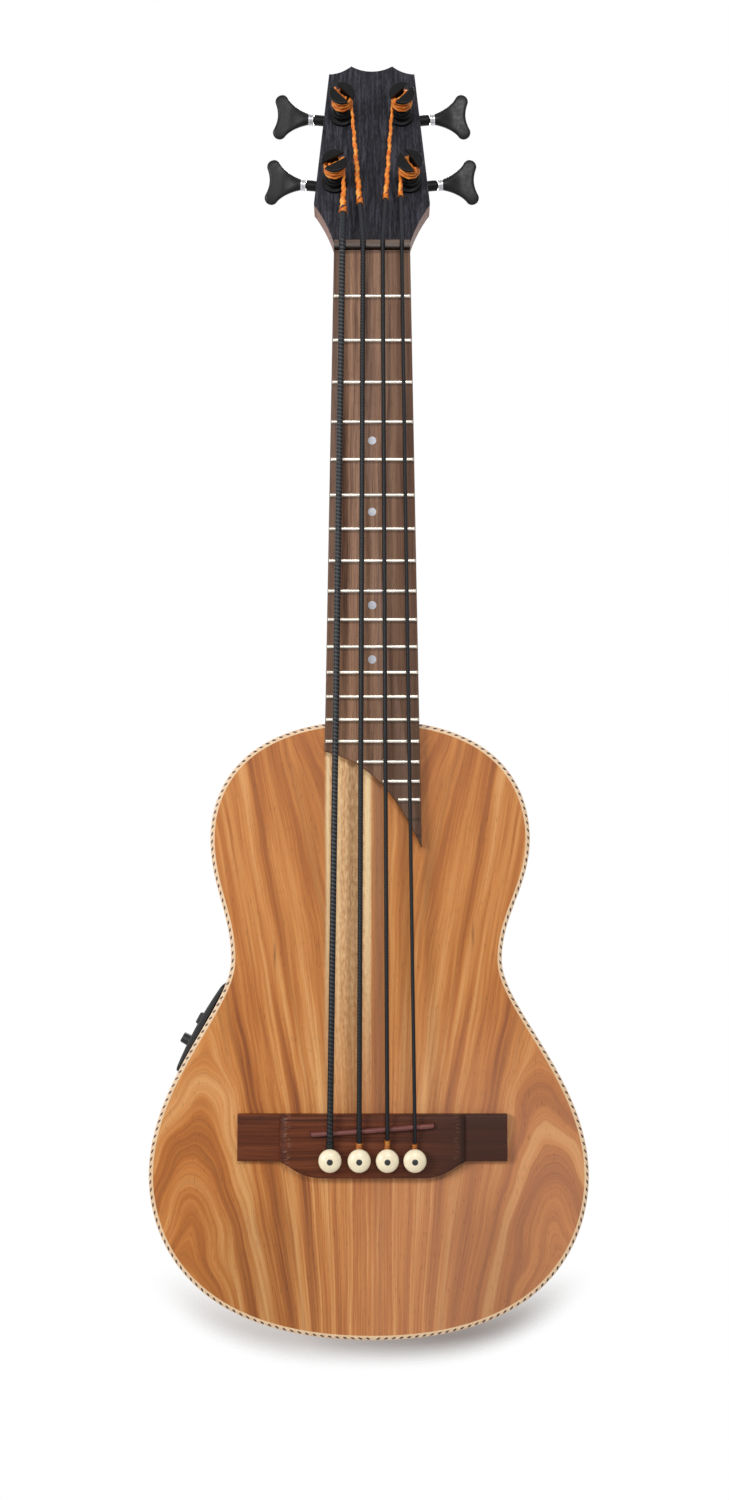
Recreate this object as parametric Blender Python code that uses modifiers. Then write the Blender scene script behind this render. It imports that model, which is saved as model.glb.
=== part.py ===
"""Bass ukulele: an assembly of separate pieces, in metres, +Z up along the neck.

The origin is the centre of the neck where the nut meets the fretboard. The
strings face -Y, the bass side is -X, and the body hangs below the origin.
"""
import math

import bmesh
import bpy
import numpy as np
from mathutils import Matrix, Vector

# Clearances
GAP = 0.0003            # between pieces that touch
GEAR_PLAY = 0.00024     # beside each flank of a gear tooth
TURN_GAP = 0.0005       # least air between two turns of a winding
OVERCUT = 0.010         # how far a cutter runs past the piece that it cuts

# Strings, bass to treble
SCALE_LENGTH = 0.520
SADDLE_SET_BACK = 0.0093
SADDLE_SLANT = math.radians(4.0)
STRING_DIAMETERS = (0.0037, 0.0030, 0.0025, 0.0022)
STRING_SPAN_NUT = 0.0362        # outer string to outer string
STRING_SPAN_SADDLE = 0.0493
STRING_RISE_NUT = 0.0016        # underside of the strings above the fretboard
STRING_RISE_SADDLE = 0.0057
STRING_ANCHOR_DEPTH = 0.0045    # end of a string below the bridge's face
SADDLE_BEND_RADIUS = 0.0040     # of a string over the saddle
SILK_DIAMETER = 0.0024          # the wrapped end that winds on the post
WRAP_STEPS = ((0.20, 1.00), (0.25, 1.06))     # share of the run to the post, and thickness
WRAP_END = 0.60                 # share of the run where the string has tapered halfway

# Fretboard, frets and nut
FACE_Y = -0.011
FRETBOARD_THICKNESS = 0.0065
FRETBOARD_NUT_WIDTH = 0.0466
FRETBOARD_WIDTH_AT_12 = 0.0552
FRETBOARD_BASS_END = 0.3070     # below the nut, at the bass edge
FRETBOARD_TIP = 0.3645          # below the nut, at the treble edge
FRET_COUNT = 18
FRET_CROWN_WIDTH = 0.0022
FRET_CROWN_HEIGHT = 0.0010
FRET_TANG_WIDTH = 0.0005
FRET_TANG_DEPTH = 0.0016
FRET_END_INSET = 0.0004
FRET_CURVE_INSET = 0.0020       # from the fretboard's curved end
NUT_LENGTH = 0.0054
NUT_RISE = 0.0030               # above the fretboard

# Neck
NECK_WOOD_AT_NUT = 0.0142
NECK_WOOD_AT_HEEL = 0.0175
NECK_ROUNDNESS = 2.3
HEEL_START = 0.238
HEEL_DEPTH = 0.060
HEEL_ROUNDNESS = 1.9

# Headstock
HEAD_TILT = math.radians(12.0)
HEAD_FACE_DROP = 0.0048         # of its face behind the fretboard's
HEAD_START = 0.006              # its face begins this far above the nut's front
HEAD_THICKNESS = 0.014
VENEER_THICKNESS = 0.0015
HEAD_LENGTH = 0.129
HEAD_CORNER_DROP = 0.0061
HEAD_DIP = 0.0039
HEAD_PEAK_HALF = 0.0130
HEAD_TOP_HALF = 0.0271
HEAD_WIDE_HALF = 0.0360
HEAD_WIDE_AT = 0.0276
HEAD_CORNER_REACH = 0.0016      # how far its widest corner is rounded
HEAD_SHOULDER_REACH = 0.0088    # handles of the hollow curve below that corner

# Tuning machines
LOWER_POST_DROP = 0.0862        # below the headstock's top
UPPER_POST_DROP = 0.0376
LOWER_POST_ACROSS = 0.0230      # from the centre line
UPPER_POST_ACROSS = 0.0185
MACHINE_TURN = math.radians(5.6)
GEAR_MODULE = 0.0006
WHEEL_TEETH = 20
FLANK_SLOPE = math.tan(math.radians(19.0))
WHEEL_THICKNESS = 0.0040
WORM_PITCH_RADIUS = 0.0033
WORM_TURNS = 3
SHAFT_DEPTH = 0.0186            # key shaft behind the headstock's face
SHAFT_RADIUS = 0.0017
POST_HEIGHT = 0.0232
POST_RADIUS = 0.0032            # inside its bushing
SPOOL_RADIUS = 0.0042           # where the string winds
CAP_RADIUS = 0.0080
CAP_THICKNESS = 0.0018
CAP_SLOT_WIDTH = 0.0038
CAP_SLOT_DEPTH = 0.0052
CAP_SLOT_ANGLES = (36.0, -64.0, -43.0, 41.0)       # degrees, one for each post
WASHER_RADIUS = 0.0079
WASHER_THICKNESS = 0.0020
BUSHING_RADIUS = 0.0064
BUSHING_HEIGHT = 0.0066
EDGE_BREAK = 0.0006             # chamfer of caps, bushings and flanges
BARREL_RADIUS = 0.0047
HOUSING_WALL = 0.0013
HOUSING_CORNER = 0.0050
SLEEVE_RADIUS = 0.0033
SLEEVE_END = 0.0193             # from the post's axis
RING_RADIUS = 0.0036
RING_LENGTH = 0.0033
KEY_LENGTH = 0.0223
KEY_HALF_HEIGHT = 0.0139
KEY_LOBE_RADIUS = 0.0043
KEY_HOLLOW = 0.0023             # dip of the outer edge between the lobes
KEY_THICKNESS = 0.0046
KEY_EDGE_BEVEL = 0.0011
KEY_SEAT = 0.0005               # of the paddle above its rings
KEY_REST_TILT = math.radians(22.0)
WINDING_TURNS = 3
LOOP_POINTS = 24

# Body outline: distances below the nut, and half widths on each side
BODY_TOP = 0.2880
UPPER_BOUT_AT = 0.3584
WAIST_AT = 0.4312
LOWER_BOUT_AT = 0.5565
BODY_END = 0.6512
BASS_HALF_WIDTHS = (0.0966, 0.0838, 0.1314)
TREBLE_HALF_WIDTHS = (0.0941, 0.0769, 0.1272)
FULLNESS = (0.915, 0.274, 0.399, 0.375, 0.224, 0.441, 0.221, 0.932)
OUTLINE_STEPS = 8               # points on each of the eight stretches

# Body
BODY_DEPTH = 0.070
PLATE_THICKNESS = 0.0025
SIDE_THICKNESS = 0.0022
BINDING_WIDTH = 0.0020
BINDING_DEPTH = 0.0040
LINING_WIDTH = 0.0060
LINING_DEPTH = 0.0090
LINING_TAPER = 0.0050
NECK_BLOCK_WIDTH = 0.062
NECK_BLOCK_LENGTH = 0.026
TAIL_BLOCK_WIDTH = 0.062
TAIL_BLOCK_LENGTH = 0.018
BRACE_WIDTH = 0.007
BRACE_HEIGHT = 0.009
UPPER_BRACE_AT = 0.3884         # cross braces of the top, below the nut
LOWER_BRACE_AT = 0.4712
LONG_BAR_ACROSS = 0.0360        # from the centre line
LONG_BAR_RELIEF = 0.0010        # lower than the cross braces
BRIDGE_PLATE_THICKNESS = 0.0025
BRIDGE_PLATE_LENGTH = 0.1260
BRIDGE_PLATE_MARGIN = 0.0110    # past the pins and the saddle
BACK_BRACES_AT = (0.3624, 0.4432, 0.5465)
CENTRE_STRIP_WIDTH = 0.0160
CENTRE_STRIP_THICKNESS = 0.0025

# Bridge
BRIDGE_TOP_OFFSET = 0.0086      # its upper edge above the saddle's middle
BRIDGE_LENGTH = 0.1580
BRIDGE_WIDTH = 0.0270
BELLY_DROP = 0.0094
BELLY_HALF = 0.0290
BELLY_FOOT_HALF = 0.0570
BRIDGE_HEIGHT = 0.0082
WING_HEIGHT = 0.0052
WING_START = 0.0545
SCOOP_RADIUS = 0.0060
SADDLE_LENGTH = 0.0725
SADDLE_WIDTH = 0.0029
SADDLE_SEAT = 0.0045
PIN_OFFSET = 0.0167             # pins below the saddle's middle
PIN_HOLE_TURN = math.radians(7.0)
PIN_HEAD_RADIUS = 0.0067
PIN_HEAD_HEIGHT = 0.0042
PIN_SHANK_RADIUS = 0.0026

# Preamp on the bass side and socket at the tail
PREAMP_AT = 0.4730              # middle of the panel, below the nut
PANEL_LENGTH = 0.0590
PANEL_WIDTH = 0.0380
PANEL_THICKNESS = 0.0034
PANEL_CROWN = 0.0018            # how much thinner its two ends are
PANEL_STAND_OFF = 0.0010
PANEL_BEVEL = 0.0010
PANEL_CORNER = 0.0040
BOX_LENGTH = 0.0470
BOX_WIDTH = 0.0290
BOX_DEPTH = 0.0200
BOX_WALL = 0.0016
KNOB_OFFSET = 0.0120            # along the panel, towards the tail
KNOB_RADIUS = 0.0034
KNOB_HEIGHT = 0.0050
KNOB_SHAFT_RADIUS = 0.0015
KNOB_SHAFT_REACH = 0.0030       # behind the panel
BUTTON_OFFSET = -0.0030
BUTTON_LENGTH = 0.0074
BUTTON_WIDTH = 0.0048
BUTTON_PROUD = 0.0025
BUTTON_RIM = 0.0010             # keeps it in the panel
BUTTON_CORNER = 0.0008
JACK_FLANGE_RADIUS = 0.0095
JACK_FLANGE_THICKNESS = 0.0026
JACK_BARREL_RADIUS = 0.0060
JACK_BARREL_LENGTH = 0.0340
JACK_BORE_RADIUS = 0.0033
JACK_BORE_DEPTH = 0.0290

# Places that follow from the sizes above
TOP_Y = FACE_Y + FRETBOARD_THICKNESS + GAP
BACK_Y = TOP_Y + BODY_DEPTH
SADDLE_AT = SCALE_LENGTH + SADDLE_SET_BACK
BRIDGE_FACE_Y = TOP_Y - GAP - BRIDGE_HEIGHT
WHEEL_PITCH_RADIUS = GEAR_MODULE * WHEEL_TEETH / 2
WORM_PITCH = math.pi * GEAR_MODULE
WORM_OFFSET = WHEEL_PITCH_RADIUS + WORM_PITCH_RADIUS + 0.0001
ADDENDUM = 0.92 * GEAR_MODULE
DEDENDUM = 1.2 * GEAR_MODULE
POST_ROWS = ((HEAD_LENGTH - LOWER_POST_DROP, LOWER_POST_ACROSS),
             (HEAD_LENGTH - UPPER_POST_DROP, UPPER_POST_ACROSS))
HOUSING_TOP = -HEAD_THICKNESS - GAP
HOUSING_FLOOR = -SHAFT_DEPTH - WORM_PITCH_RADIUS - ADDENDUM - 2 * GAP


# Scene, collections and materials

def clear_scene():
    for obj in list(bpy.data.objects):
        bpy.data.objects.remove(obj, do_unlink=True)


def new_collection(name):
    collection = bpy.data.collections.new(name)
    bpy.context.scene.collection.children.link(collection)
    return collection


def material(name, colour, roughness, metallic=0.0):
    mat = bpy.data.materials.new(name)
    mat.use_nodes = True
    shader = mat.node_tree.nodes["Principled BSDF"]
    shader.inputs["Base Color"].default_value = (*colour, 1.0)
    shader.inputs["Roughness"].default_value = roughness
    shader.inputs["Metallic"].default_value = metallic
    return mat


def make_materials():
    return {
        "koa": material("koa", (0.55, 0.24, 0.08), 0.35),
        "mahogany": material("mahogany", (0.25, 0.09, 0.045), 0.4),
        "rosewood": material("rosewood", (0.09, 0.04, 0.025), 0.5),
        "ebonized": material("ebonized_veneer", (0.03, 0.03, 0.033), 0.5),
        "binding": material("rope_binding", (0.5, 0.38, 0.22), 0.4),
        "spruce": material("spruce", (0.62, 0.42, 0.22), 0.6),
        "nickel": material("nickel_silver", (0.75, 0.74, 0.7), 0.25, 1.0),
        "black": material("black_hardware", (0.025, 0.025, 0.027), 0.35, 0.6),
        "chrome": material("chrome", (0.8, 0.8, 0.82), 0.15, 1.0),
        "string": material("black_string", (0.02, 0.02, 0.022), 0.45),
        "ivoroid": material("ivoroid", (0.88, 0.82, 0.66), 0.35),
        "plastic": material("black_plastic", (0.022, 0.022, 0.024), 0.4),
    }


# Building tools

SHARP_ANGLE = math.radians(40.0)        # edges sharper than this stay creased


def finish(obj, mat, parent=None, matrix=None):
    """Give an object its material and its place."""
    if mat is not None:
        obj.data.materials.clear()
        obj.data.materials.append(mat)
    if matrix is not None:
        obj.matrix_local = matrix
    if parent is not None:
        obj.parent = parent
    return obj


def mesh_object(name, bm, collection):
    """Turn a bmesh into a linked object with its faces pointing out."""
    bmesh.ops.recalc_face_normals(bm, faces=bm.faces)
    mesh = bpy.data.meshes.new(name)
    bm.to_mesh(mesh)
    bm.free()
    mesh.shade_smooth()
    mesh.set_sharp_from_angle(angle=SHARP_ANGLE)
    obj = bpy.data.objects.new(name, mesh)
    collection.objects.link(obj)
    return obj


def loft(name, rings, collection, closed=False):
    """Skin equal rings of points, capped at both ends or closed on itself."""
    bm = bmesh.new()
    grid = [[bm.verts.new(point) for point in ring] for ring in rings]
    count = len(rings)
    size = len(rings[0])
    for i in range(count if closed else count - 1):
        lower = grid[i]
        upper = grid[(i + 1) % count]
        for j in range(size):
            k = (j + 1) % size
            bm.faces.new((lower[j], lower[k], upper[k], upper[j]))
    if not closed:
        bm.faces.new(list(reversed(grid[0])))
        bm.faces.new(grid[-1])
    return mesh_object(name, bm, collection)


def curve_to_mesh(curve_obj, collection):
    """Replace a curve object by its mesh, with welded caps and whole flat faces."""
    bpy.context.view_layer.update()
    graph = bpy.context.evaluated_depsgraph_get()
    mesh = bpy.data.meshes.new_from_object(curve_obj.evaluated_get(graph))
    bm = bmesh.new()
    bm.from_mesh(mesh)
    bmesh.ops.remove_doubles(bm, verts=bm.verts, dist=0.00001)
    bmesh.ops.dissolve_limit(bm, angle_limit=0.001, verts=bm.verts, edges=bm.edges)
    bmesh.ops.recalc_face_normals(bm, faces=bm.faces)
    bm.to_mesh(mesh)
    bm.free()
    obj = bpy.data.objects.new(curve_obj.name + "_mesh", mesh)
    collection.objects.link(obj)
    obj.matrix_world = curve_obj.matrix_world
    name = curve_obj.name
    data = curve_obj.data
    bpy.data.objects.remove(curve_obj, do_unlink=True)
    bpy.data.curves.remove(data)
    obj.name = name
    mesh.name = name
    return obj


def flat_piece(name, loops, thickness, collection, matrix, bevel=0.0):
    """Extrude flat loops, the first the outline and the rest holes, about local Z."""
    curve = bpy.data.curves.new(name, "CURVE")
    curve.dimensions = "2D"
    curve.fill_mode = "BOTH"
    curve.extrude = thickness / 2 - bevel
    curve.bevel_depth = bevel
    curve.bevel_resolution = 0
    curve.offset = -bevel
    for loop in loops:
        spline = curve.splines.new("POLY")
        spline.points.add(len(loop) - 1)
        for point, (x, y) in zip(spline.points, loop):
            point.co = (x, y, 0.0, 1.0)
        spline.use_cyclic_u = True
    obj = bpy.data.objects.new(name, curve)
    collection.objects.link(obj)
    obj.matrix_world = matrix
    return curve_to_mesh(obj, collection)


def turned(name, profile, collection, steps=20, ring=False):
    """Turn a profile of (radius, height) pairs, top to bottom, about local Z."""
    mesh = bpy.data.meshes.new(name)
    count = len(profile)
    edges = [(i, i + 1) for i in range(count - 1)]
    if ring:
        edges.append((count - 1, 0))
    mesh.from_pydata([(r, 0.0, z) for r, z in profile], edges, [])
    obj = bpy.data.objects.new(name, mesh)
    collection.objects.link(obj)
    screw = obj.modifiers.new("turn", "SCREW")
    screw.axis = "Z"
    screw.angle = 2 * math.pi
    screw.steps = steps
    screw.render_steps = steps
    screw.use_merge_vertices = True
    screw.merge_threshold = 0.00001
    screw.use_smooth_shade = True
    return obj


def cylinder(name, radius, start, end, collection, parent=None, segments=20):
    """A plain cylinder between two points of its parent's frame."""
    start = Vector(start)
    end = Vector(end)
    axis = end - start
    bm = bmesh.new()
    bmesh.ops.create_cone(bm, cap_ends=True, segments=segments, radius1=radius,
                          radius2=radius, depth=axis.length)
    obj = mesh_object(name, bm, collection)
    turn = Vector((0.0, 0.0, 1.0)).rotation_difference(axis.normalized()).to_matrix().to_4x4()
    return finish(obj, None, parent, Matrix.Translation((start + end) / 2) @ turn)


def block(name, low, high, collection, parent=None, matrix=None):
    """A box between two corners of its parent's frame."""
    low = Vector(low)
    high = Vector(high)
    size = high - low
    bm = bmesh.new()
    bmesh.ops.create_cube(bm, size=1.0, matrix=Matrix.Translation((low + high) / 2)
                          @ Matrix.Diagonal((*size, 1.0)))
    return finish(mesh_object(name, bm, collection), None, parent, matrix or Matrix())


def combine(target, tool, operation):
    """Join or cut a target with a tool, which becomes a hidden guide."""
    modifier = target.modifiers.new(operation.lower(), "BOOLEAN")
    modifier.operation = operation
    modifier.solver = "EXACT"
    modifier.object = tool
    tool.hide_render = True
    tool.display_type = "WIRE"


def cut(target, tool):
    combine(target, tool, "DIFFERENCE")


def join(target, tool):
    combine(target, tool, "UNION")


# Plane shapes

def bezier(start, first, second, end, steps):
    """Points of a cubic curve, without its last one."""
    points = []
    for i in range(steps):
        t = i / steps
        u = 1 - t
        weights = (u ** 3, 3 * u * u * t, 3 * u * t * t, t ** 3)
        points.append(tuple(sum(w * p[k] for w, p in zip(weights, (start, first, second, end)))
                            for k in range(2)))
    return points


def circle(radius, centre=(0.0, 0.0), steps=16, turn=0.0):
    angles = [turn + 2 * math.pi * i / steps for i in range(steps)]
    return [(centre[0] + radius * math.cos(a), centre[1] + radius * math.sin(a)) for a in angles]


def rounded_rectangle(low, high, radius, steps=3):
    """Corners low and high, rounded, counter-clockwise."""
    centres = ((high[0] - radius, high[1] - radius, 0), (low[0] + radius, high[1] - radius, 1),
               (low[0] + radius, low[1] + radius, 2), (high[0] - radius, low[1] + radius, 3))
    points = []
    for x, y, quarter in centres:
        for i in range(steps + 1):
            angle = math.pi / 2 * (quarter + i / steps)
            points.append((x + radius * math.cos(angle), y + radius * math.sin(angle)))
    return points


def mirrored(half):
    """Complete a right half outline; points on the centre line are kept once."""
    return half + [(-x, y) for x, y in reversed(half) if x > 0]


def facing_front(y):
    """Matrix that stands a flat shape up: local Y becomes Z, local Z becomes -Y."""
    return Matrix.Translation((0.0, y, 0.0)) @ Matrix.Rotation(math.pi / 2, 4, "X")


def half_outline(widths):
    """One side of the body from the top centre to the tail centre."""
    upper, waist, lower = widths
    f = FULLNESS
    top, bout_1, middle, bout_2, tail = (-BODY_TOP, -UPPER_BOUT_AT, -WAIST_AT,
                                         -LOWER_BOUT_AT, -BODY_END)
    spans = (
        ((0.0, top), (f[0] * upper, top), (upper, bout_1 - f[1] * (bout_1 - top)),
         (upper, bout_1)),
        ((upper, bout_1), (upper, bout_1 + f[2] * (middle - bout_1)),
         (waist, middle - f[3] * (middle - bout_1)), (waist, middle)),
        ((waist, middle), (waist, middle + f[4] * (bout_2 - middle)),
         (lower, bout_2 - f[5] * (bout_2 - middle)), (lower, bout_2)),
        ((lower, bout_2), (lower, bout_2 + f[6] * (tail - bout_2)),
         (f[7] * lower, tail), (0.0, tail)),
    )
    points = []
    for span in spans:
        points += bezier(*span, OUTLINE_STEPS)
    return points + [(0.0, tail)]


def body_outline(inset=0.0):
    """The body's whole outline, moved inwards by inset."""
    treble = half_outline(TREBLE_HALF_WIDTHS)
    bass = half_outline(BASS_HALF_WIDTHS)
    loop = treble + [(-x, z) for x, z in reversed(bass[1:-1])]
    points = np.array(loop)
    along = np.roll(points, -1, axis=0) - np.roll(points, 1, axis=0)
    along /= np.linalg.norm(along, axis=1)[:, None]
    inwards = np.stack([along[:, 1], -along[:, 0]], axis=1)
    return [tuple(p) for p in points + inset * inwards]


def outline_place(side, below_nut):
    """Point and outward normal of the body's edge on one side, at a height."""
    widths = TREBLE_HALF_WIDTHS if side > 0 else BASS_HALF_WIDTHS
    half = np.array(half_outline(widths))
    z = -below_nut
    step = 0.004
    x, x_up, x_down = (float(np.interp(-v, -half[:, 1], half[:, 0]))
                       for v in (z, z + step, z - step))
    slope = (x_up - x_down) / (2 * step)
    normal = Vector((side * 1.0, 0.0, -slope)).normalized()
    return Vector((side * x, 0.0, z)), normal


# Strings and frets: shared places

def fret_place(number):
    """Height of a fret, below the nut as a negative Z."""
    return -SCALE_LENGTH * (1 - 2 ** (-number / 12))


def board_half_width(z):
    """Half the fretboard's width at a height."""
    twelfth = SCALE_LENGTH / 2
    growth = (FRETBOARD_WIDTH_AT_12 - FRETBOARD_NUT_WIDTH) / 2
    return FRETBOARD_NUT_WIDTH / 2 + growth * (-z / twelfth)


def string_places(span):
    """Centres of the strings across, with equal air between neighbours."""
    radii = [d / 2 for d in STRING_DIAMETERS]
    filled = sum(radii[i] + radii[i + 1] for i in range(len(radii) - 1))
    air = (span - filled) / (len(radii) - 1)
    places = [-span / 2]
    for i in range(len(radii) - 1):
        places.append(places[-1] + radii[i] + air + radii[i + 1])
    return places


def swoosh():
    """The fretboard's curved end, from its bass corner to its treble tip."""
    bass = (-board_half_width(-FRETBOARD_BASS_END), -FRETBOARD_BASS_END)
    tip = (board_half_width(-FRETBOARD_TIP), -FRETBOARD_TIP)
    drop = FRETBOARD_TIP - FRETBOARD_BASS_END
    first = (bass[0] + 0.0260, bass[1] - 0.11 * drop)
    second = (tip[0] - 0.0150, tip[1] + 0.57 * drop)
    return bezier(bass, first, second, tip, 16) + [tip]


def fret_span(number):
    """Left and right end of a fret, cut short where the end curve crosses it."""
    z = fret_place(number)
    half = board_half_width(z) - FRET_END_INSET
    left = -half
    curve = np.array(swoosh())
    if z < -FRETBOARD_BASS_END:
        left = float(np.interp(-z, -curve[:, 1], curve[:, 0])) + FRET_CURVE_INSET
    return left, half


# Body

def make_plates(parts, mats):
    top_inset = BINDING_WIDTH + GAP
    top = flat_piece("top_plate", [body_outline(top_inset)] + pin_holes(), PLATE_THICKNESS, parts,
                     facing_front(TOP_Y + PLATE_THICKNESS / 2))
    back = flat_piece("back_plate", [body_outline()], PLATE_THICKNESS, parts,
                      facing_front(BACK_Y - PLATE_THICKNESS / 2))
    rim = flat_piece("top_binding", [body_outline(), body_outline(BINDING_WIDTH)], BINDING_DEPTH,
                     parts, facing_front(TOP_Y + BINDING_DEPTH / 2))
    finish(top, mats["koa"])
    finish(back, mats["koa"])
    finish(rim, mats["binding"])


def side_section():
    """Half of the rim's section: (inset from the edge, distance behind the top's face)."""
    ledge = BINDING_WIDTH + GAP
    inner = SIDE_THICKNESS + LINING_WIDTH
    front = PLATE_THICKNESS + GAP
    back = BODY_DEPTH - front
    return (
        (0.0, BINDING_DEPTH + GAP),
        (ledge, BINDING_DEPTH + GAP),
        (ledge, front),
        (inner, front),
        (inner, front + LINING_DEPTH),
        (SIDE_THICKNESS, front + LINING_DEPTH + LINING_TAPER),
        (SIDE_THICKNESS, back - LINING_DEPTH - LINING_TAPER),
        (inner, back - LINING_DEPTH),
        (inner, back),
        (0.0, back),
    )


def make_sides(parts, mats):
    section = side_section()
    loops = [body_outline(inset) for inset, _ in section]
    rings = []
    for i in range(len(loops[0])):
        rings.append([(loop[i][0], TOP_Y + depth, loop[i][1])
                      for loop, (_, depth) in zip(loops, section)])
    return finish(loft("sides", rings, parts, closed=True), mats["koa"])


def end_block(name, width, length, top_end, parts):
    """A block between the plates that fits round the linings at one end of the body."""
    front = PLATE_THICKNESS + GAP
    back = BODY_DEPTH - front
    wall = SIDE_THICKNESS + GAP
    lining = wall + LINING_WIDTH
    levels = (
        (front, lining), (front + LINING_DEPTH + GAP, lining),
        (front + LINING_DEPTH + LINING_TAPER + GAP, wall),
        (back - LINING_DEPTH - LINING_TAPER - GAP, wall),
        (back - LINING_DEPTH - GAP, lining), (back, lining),
    )
    columns = [width * (i / 8 - 0.5) for i in range(9)]
    rings = []
    for depth, inset in levels:
        loop = np.array(body_outline(inset))
        middle = -(BODY_TOP + BODY_END) / 2
        keep = loop[:, 1] > middle if top_end else loop[:, 1] < middle
        order = np.argsort(loop[keep][:, 0])
        edge = loop[keep][order]
        outer = [(x, TOP_Y + depth, float(np.interp(x, edge[:, 0], edge[:, 1])))
                 for x in columns]
        flat = -BODY_TOP - length if top_end else -BODY_END + length
        rings.append(outer + [(x, TOP_Y + depth, flat) for x in reversed(columns)])
    return loft(name, rings, parts)


def make_blocks(parts, mats):
    neck_block = end_block("neck_block", NECK_BLOCK_WIDTH, NECK_BLOCK_LENGTH, True, parts)
    tail_block = end_block("tail_block", TAIL_BLOCK_WIDTH, TAIL_BLOCK_LENGTH, False, parts)
    finish(neck_block, mats["mahogany"])
    finish(tail_block, mats["mahogany"])
    return tail_block


def inner_half_width(below_nut, side):
    """Clear half width between the linings at a height."""
    place, normal = outline_place(side, below_nut)
    margin = (SIDE_THICKNESS + LINING_WIDTH + 2 * GAP) / abs(normal.x)
    return abs(place.x) - margin


def cross_brace(name, below_nut, y_low, y_high, width, collection):
    """A brace across the body, its ends against the linings."""
    edges = [below_nut - width / 2, below_nut + width / 2]
    bass = min(inner_half_width(at, -1) for at in edges)
    treble = min(inner_half_width(at, 1) for at in edges)
    return block(name, (-bass, y_low, -edges[1]), (treble, y_high, -edges[0]), collection)


def make_top_bracing(parts, cutters, mats):
    """Two cross braces, two long bars and the bridge plate, glued into one frame."""
    y_low = TOP_Y + PLATE_THICKNESS + GAP
    y_high = y_low + BRACE_HEIGHT
    frame = cross_brace("top_bracing", UPPER_BRACE_AT, y_low, y_high, BRACE_WIDTH, parts)
    lower = cross_brace("lower_cross_brace", LOWER_BRACE_AT, y_low, y_high, BRACE_WIDTH, cutters)
    join(frame, lower)
    plate_end = SADDLE_AT + PIN_OFFSET + BRIDGE_PLATE_MARGIN
    for sign in (-1, 1):
        x = sign * LONG_BAR_ACROSS
        bar = block("long_bar", (x - BRACE_WIDTH / 2, y_low, -plate_end - LONG_BAR_RELIEF),
                    (x + BRACE_WIDTH / 2, y_high - LONG_BAR_RELIEF, -UPPER_BRACE_AT), cutters)
        join(frame, bar)
    half = BRIDGE_PLATE_LENGTH / 2
    plate = block("bridge_plate", (-half, y_low, -plate_end),
                  (half, y_low + BRIDGE_PLATE_THICKNESS, -SADDLE_AT + BRIDGE_PLATE_MARGIN),
                  cutters)
    join(frame, plate)
    finish(frame, mats["spruce"])


def make_back_bracing(parts, cutters, mats):
    """A centre strip and three cross braces on the back, glued into one frame."""
    y_high = BACK_Y - PLATE_THICKNESS - GAP
    y_low = y_high - BRACE_HEIGHT
    half = CENTRE_STRIP_WIDTH / 2
    strip = block("back_bracing",
                  (-half, y_high - CENTRE_STRIP_THICKNESS, -BODY_END + TAIL_BLOCK_LENGTH + GAP),
                  (half, y_high, -BODY_TOP - NECK_BLOCK_LENGTH - GAP), parts)
    for at in BACK_BRACES_AT:
        brace = cross_brace("back_cross_brace", at, y_low, y_high, BRACE_WIDTH, cutters)
        join(strip, brace)
    finish(strip, mats["spruce"])


# Neck, headstock, fretboard

def neck_ring(z):
    """The neck's section at a height: flat in front, round behind."""
    below = -z
    share = min(max(below / BODY_TOP, 0.0), 1.0)
    depth = NECK_WOOD_AT_NUT + (NECK_WOOD_AT_HEEL - NECK_WOOD_AT_NUT) * share
    bend = min(max((below - HEEL_START) / (BODY_TOP - HEEL_START), 0.0), 1.0)
    swell = 1 - math.sqrt(1 - bend * bend)
    depth += (HEEL_DEPTH - NECK_WOOD_AT_HEEL) * swell
    power = NECK_ROUNDNESS + (HEEL_ROUNDNESS - NECK_ROUNDNESS) * bend
    half = board_half_width(z)
    ring = []
    for i in range(17):
        angle = math.pi * i / 16
        across = math.copysign(abs(math.cos(angle)) ** (2 / power), math.cos(angle))
        ring.append((half * across, TOP_Y + depth * math.sin(angle) ** (2 / power), z))
    return ring


def neck_heights():
    """Heights of the neck's sections: few along the shaft, more round the heel."""
    shaft = [HEAD_START - GAP / 3, 0.0, -HEEL_START * 0.5, -HEEL_START]
    run = BODY_TOP - HEEL_START
    heel = [-HEEL_START - run * math.sin(math.pi / 2 * i / 8) for i in range(1, 9)]
    return shaft + heel + [-BODY_TOP - 0.008]


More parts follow.
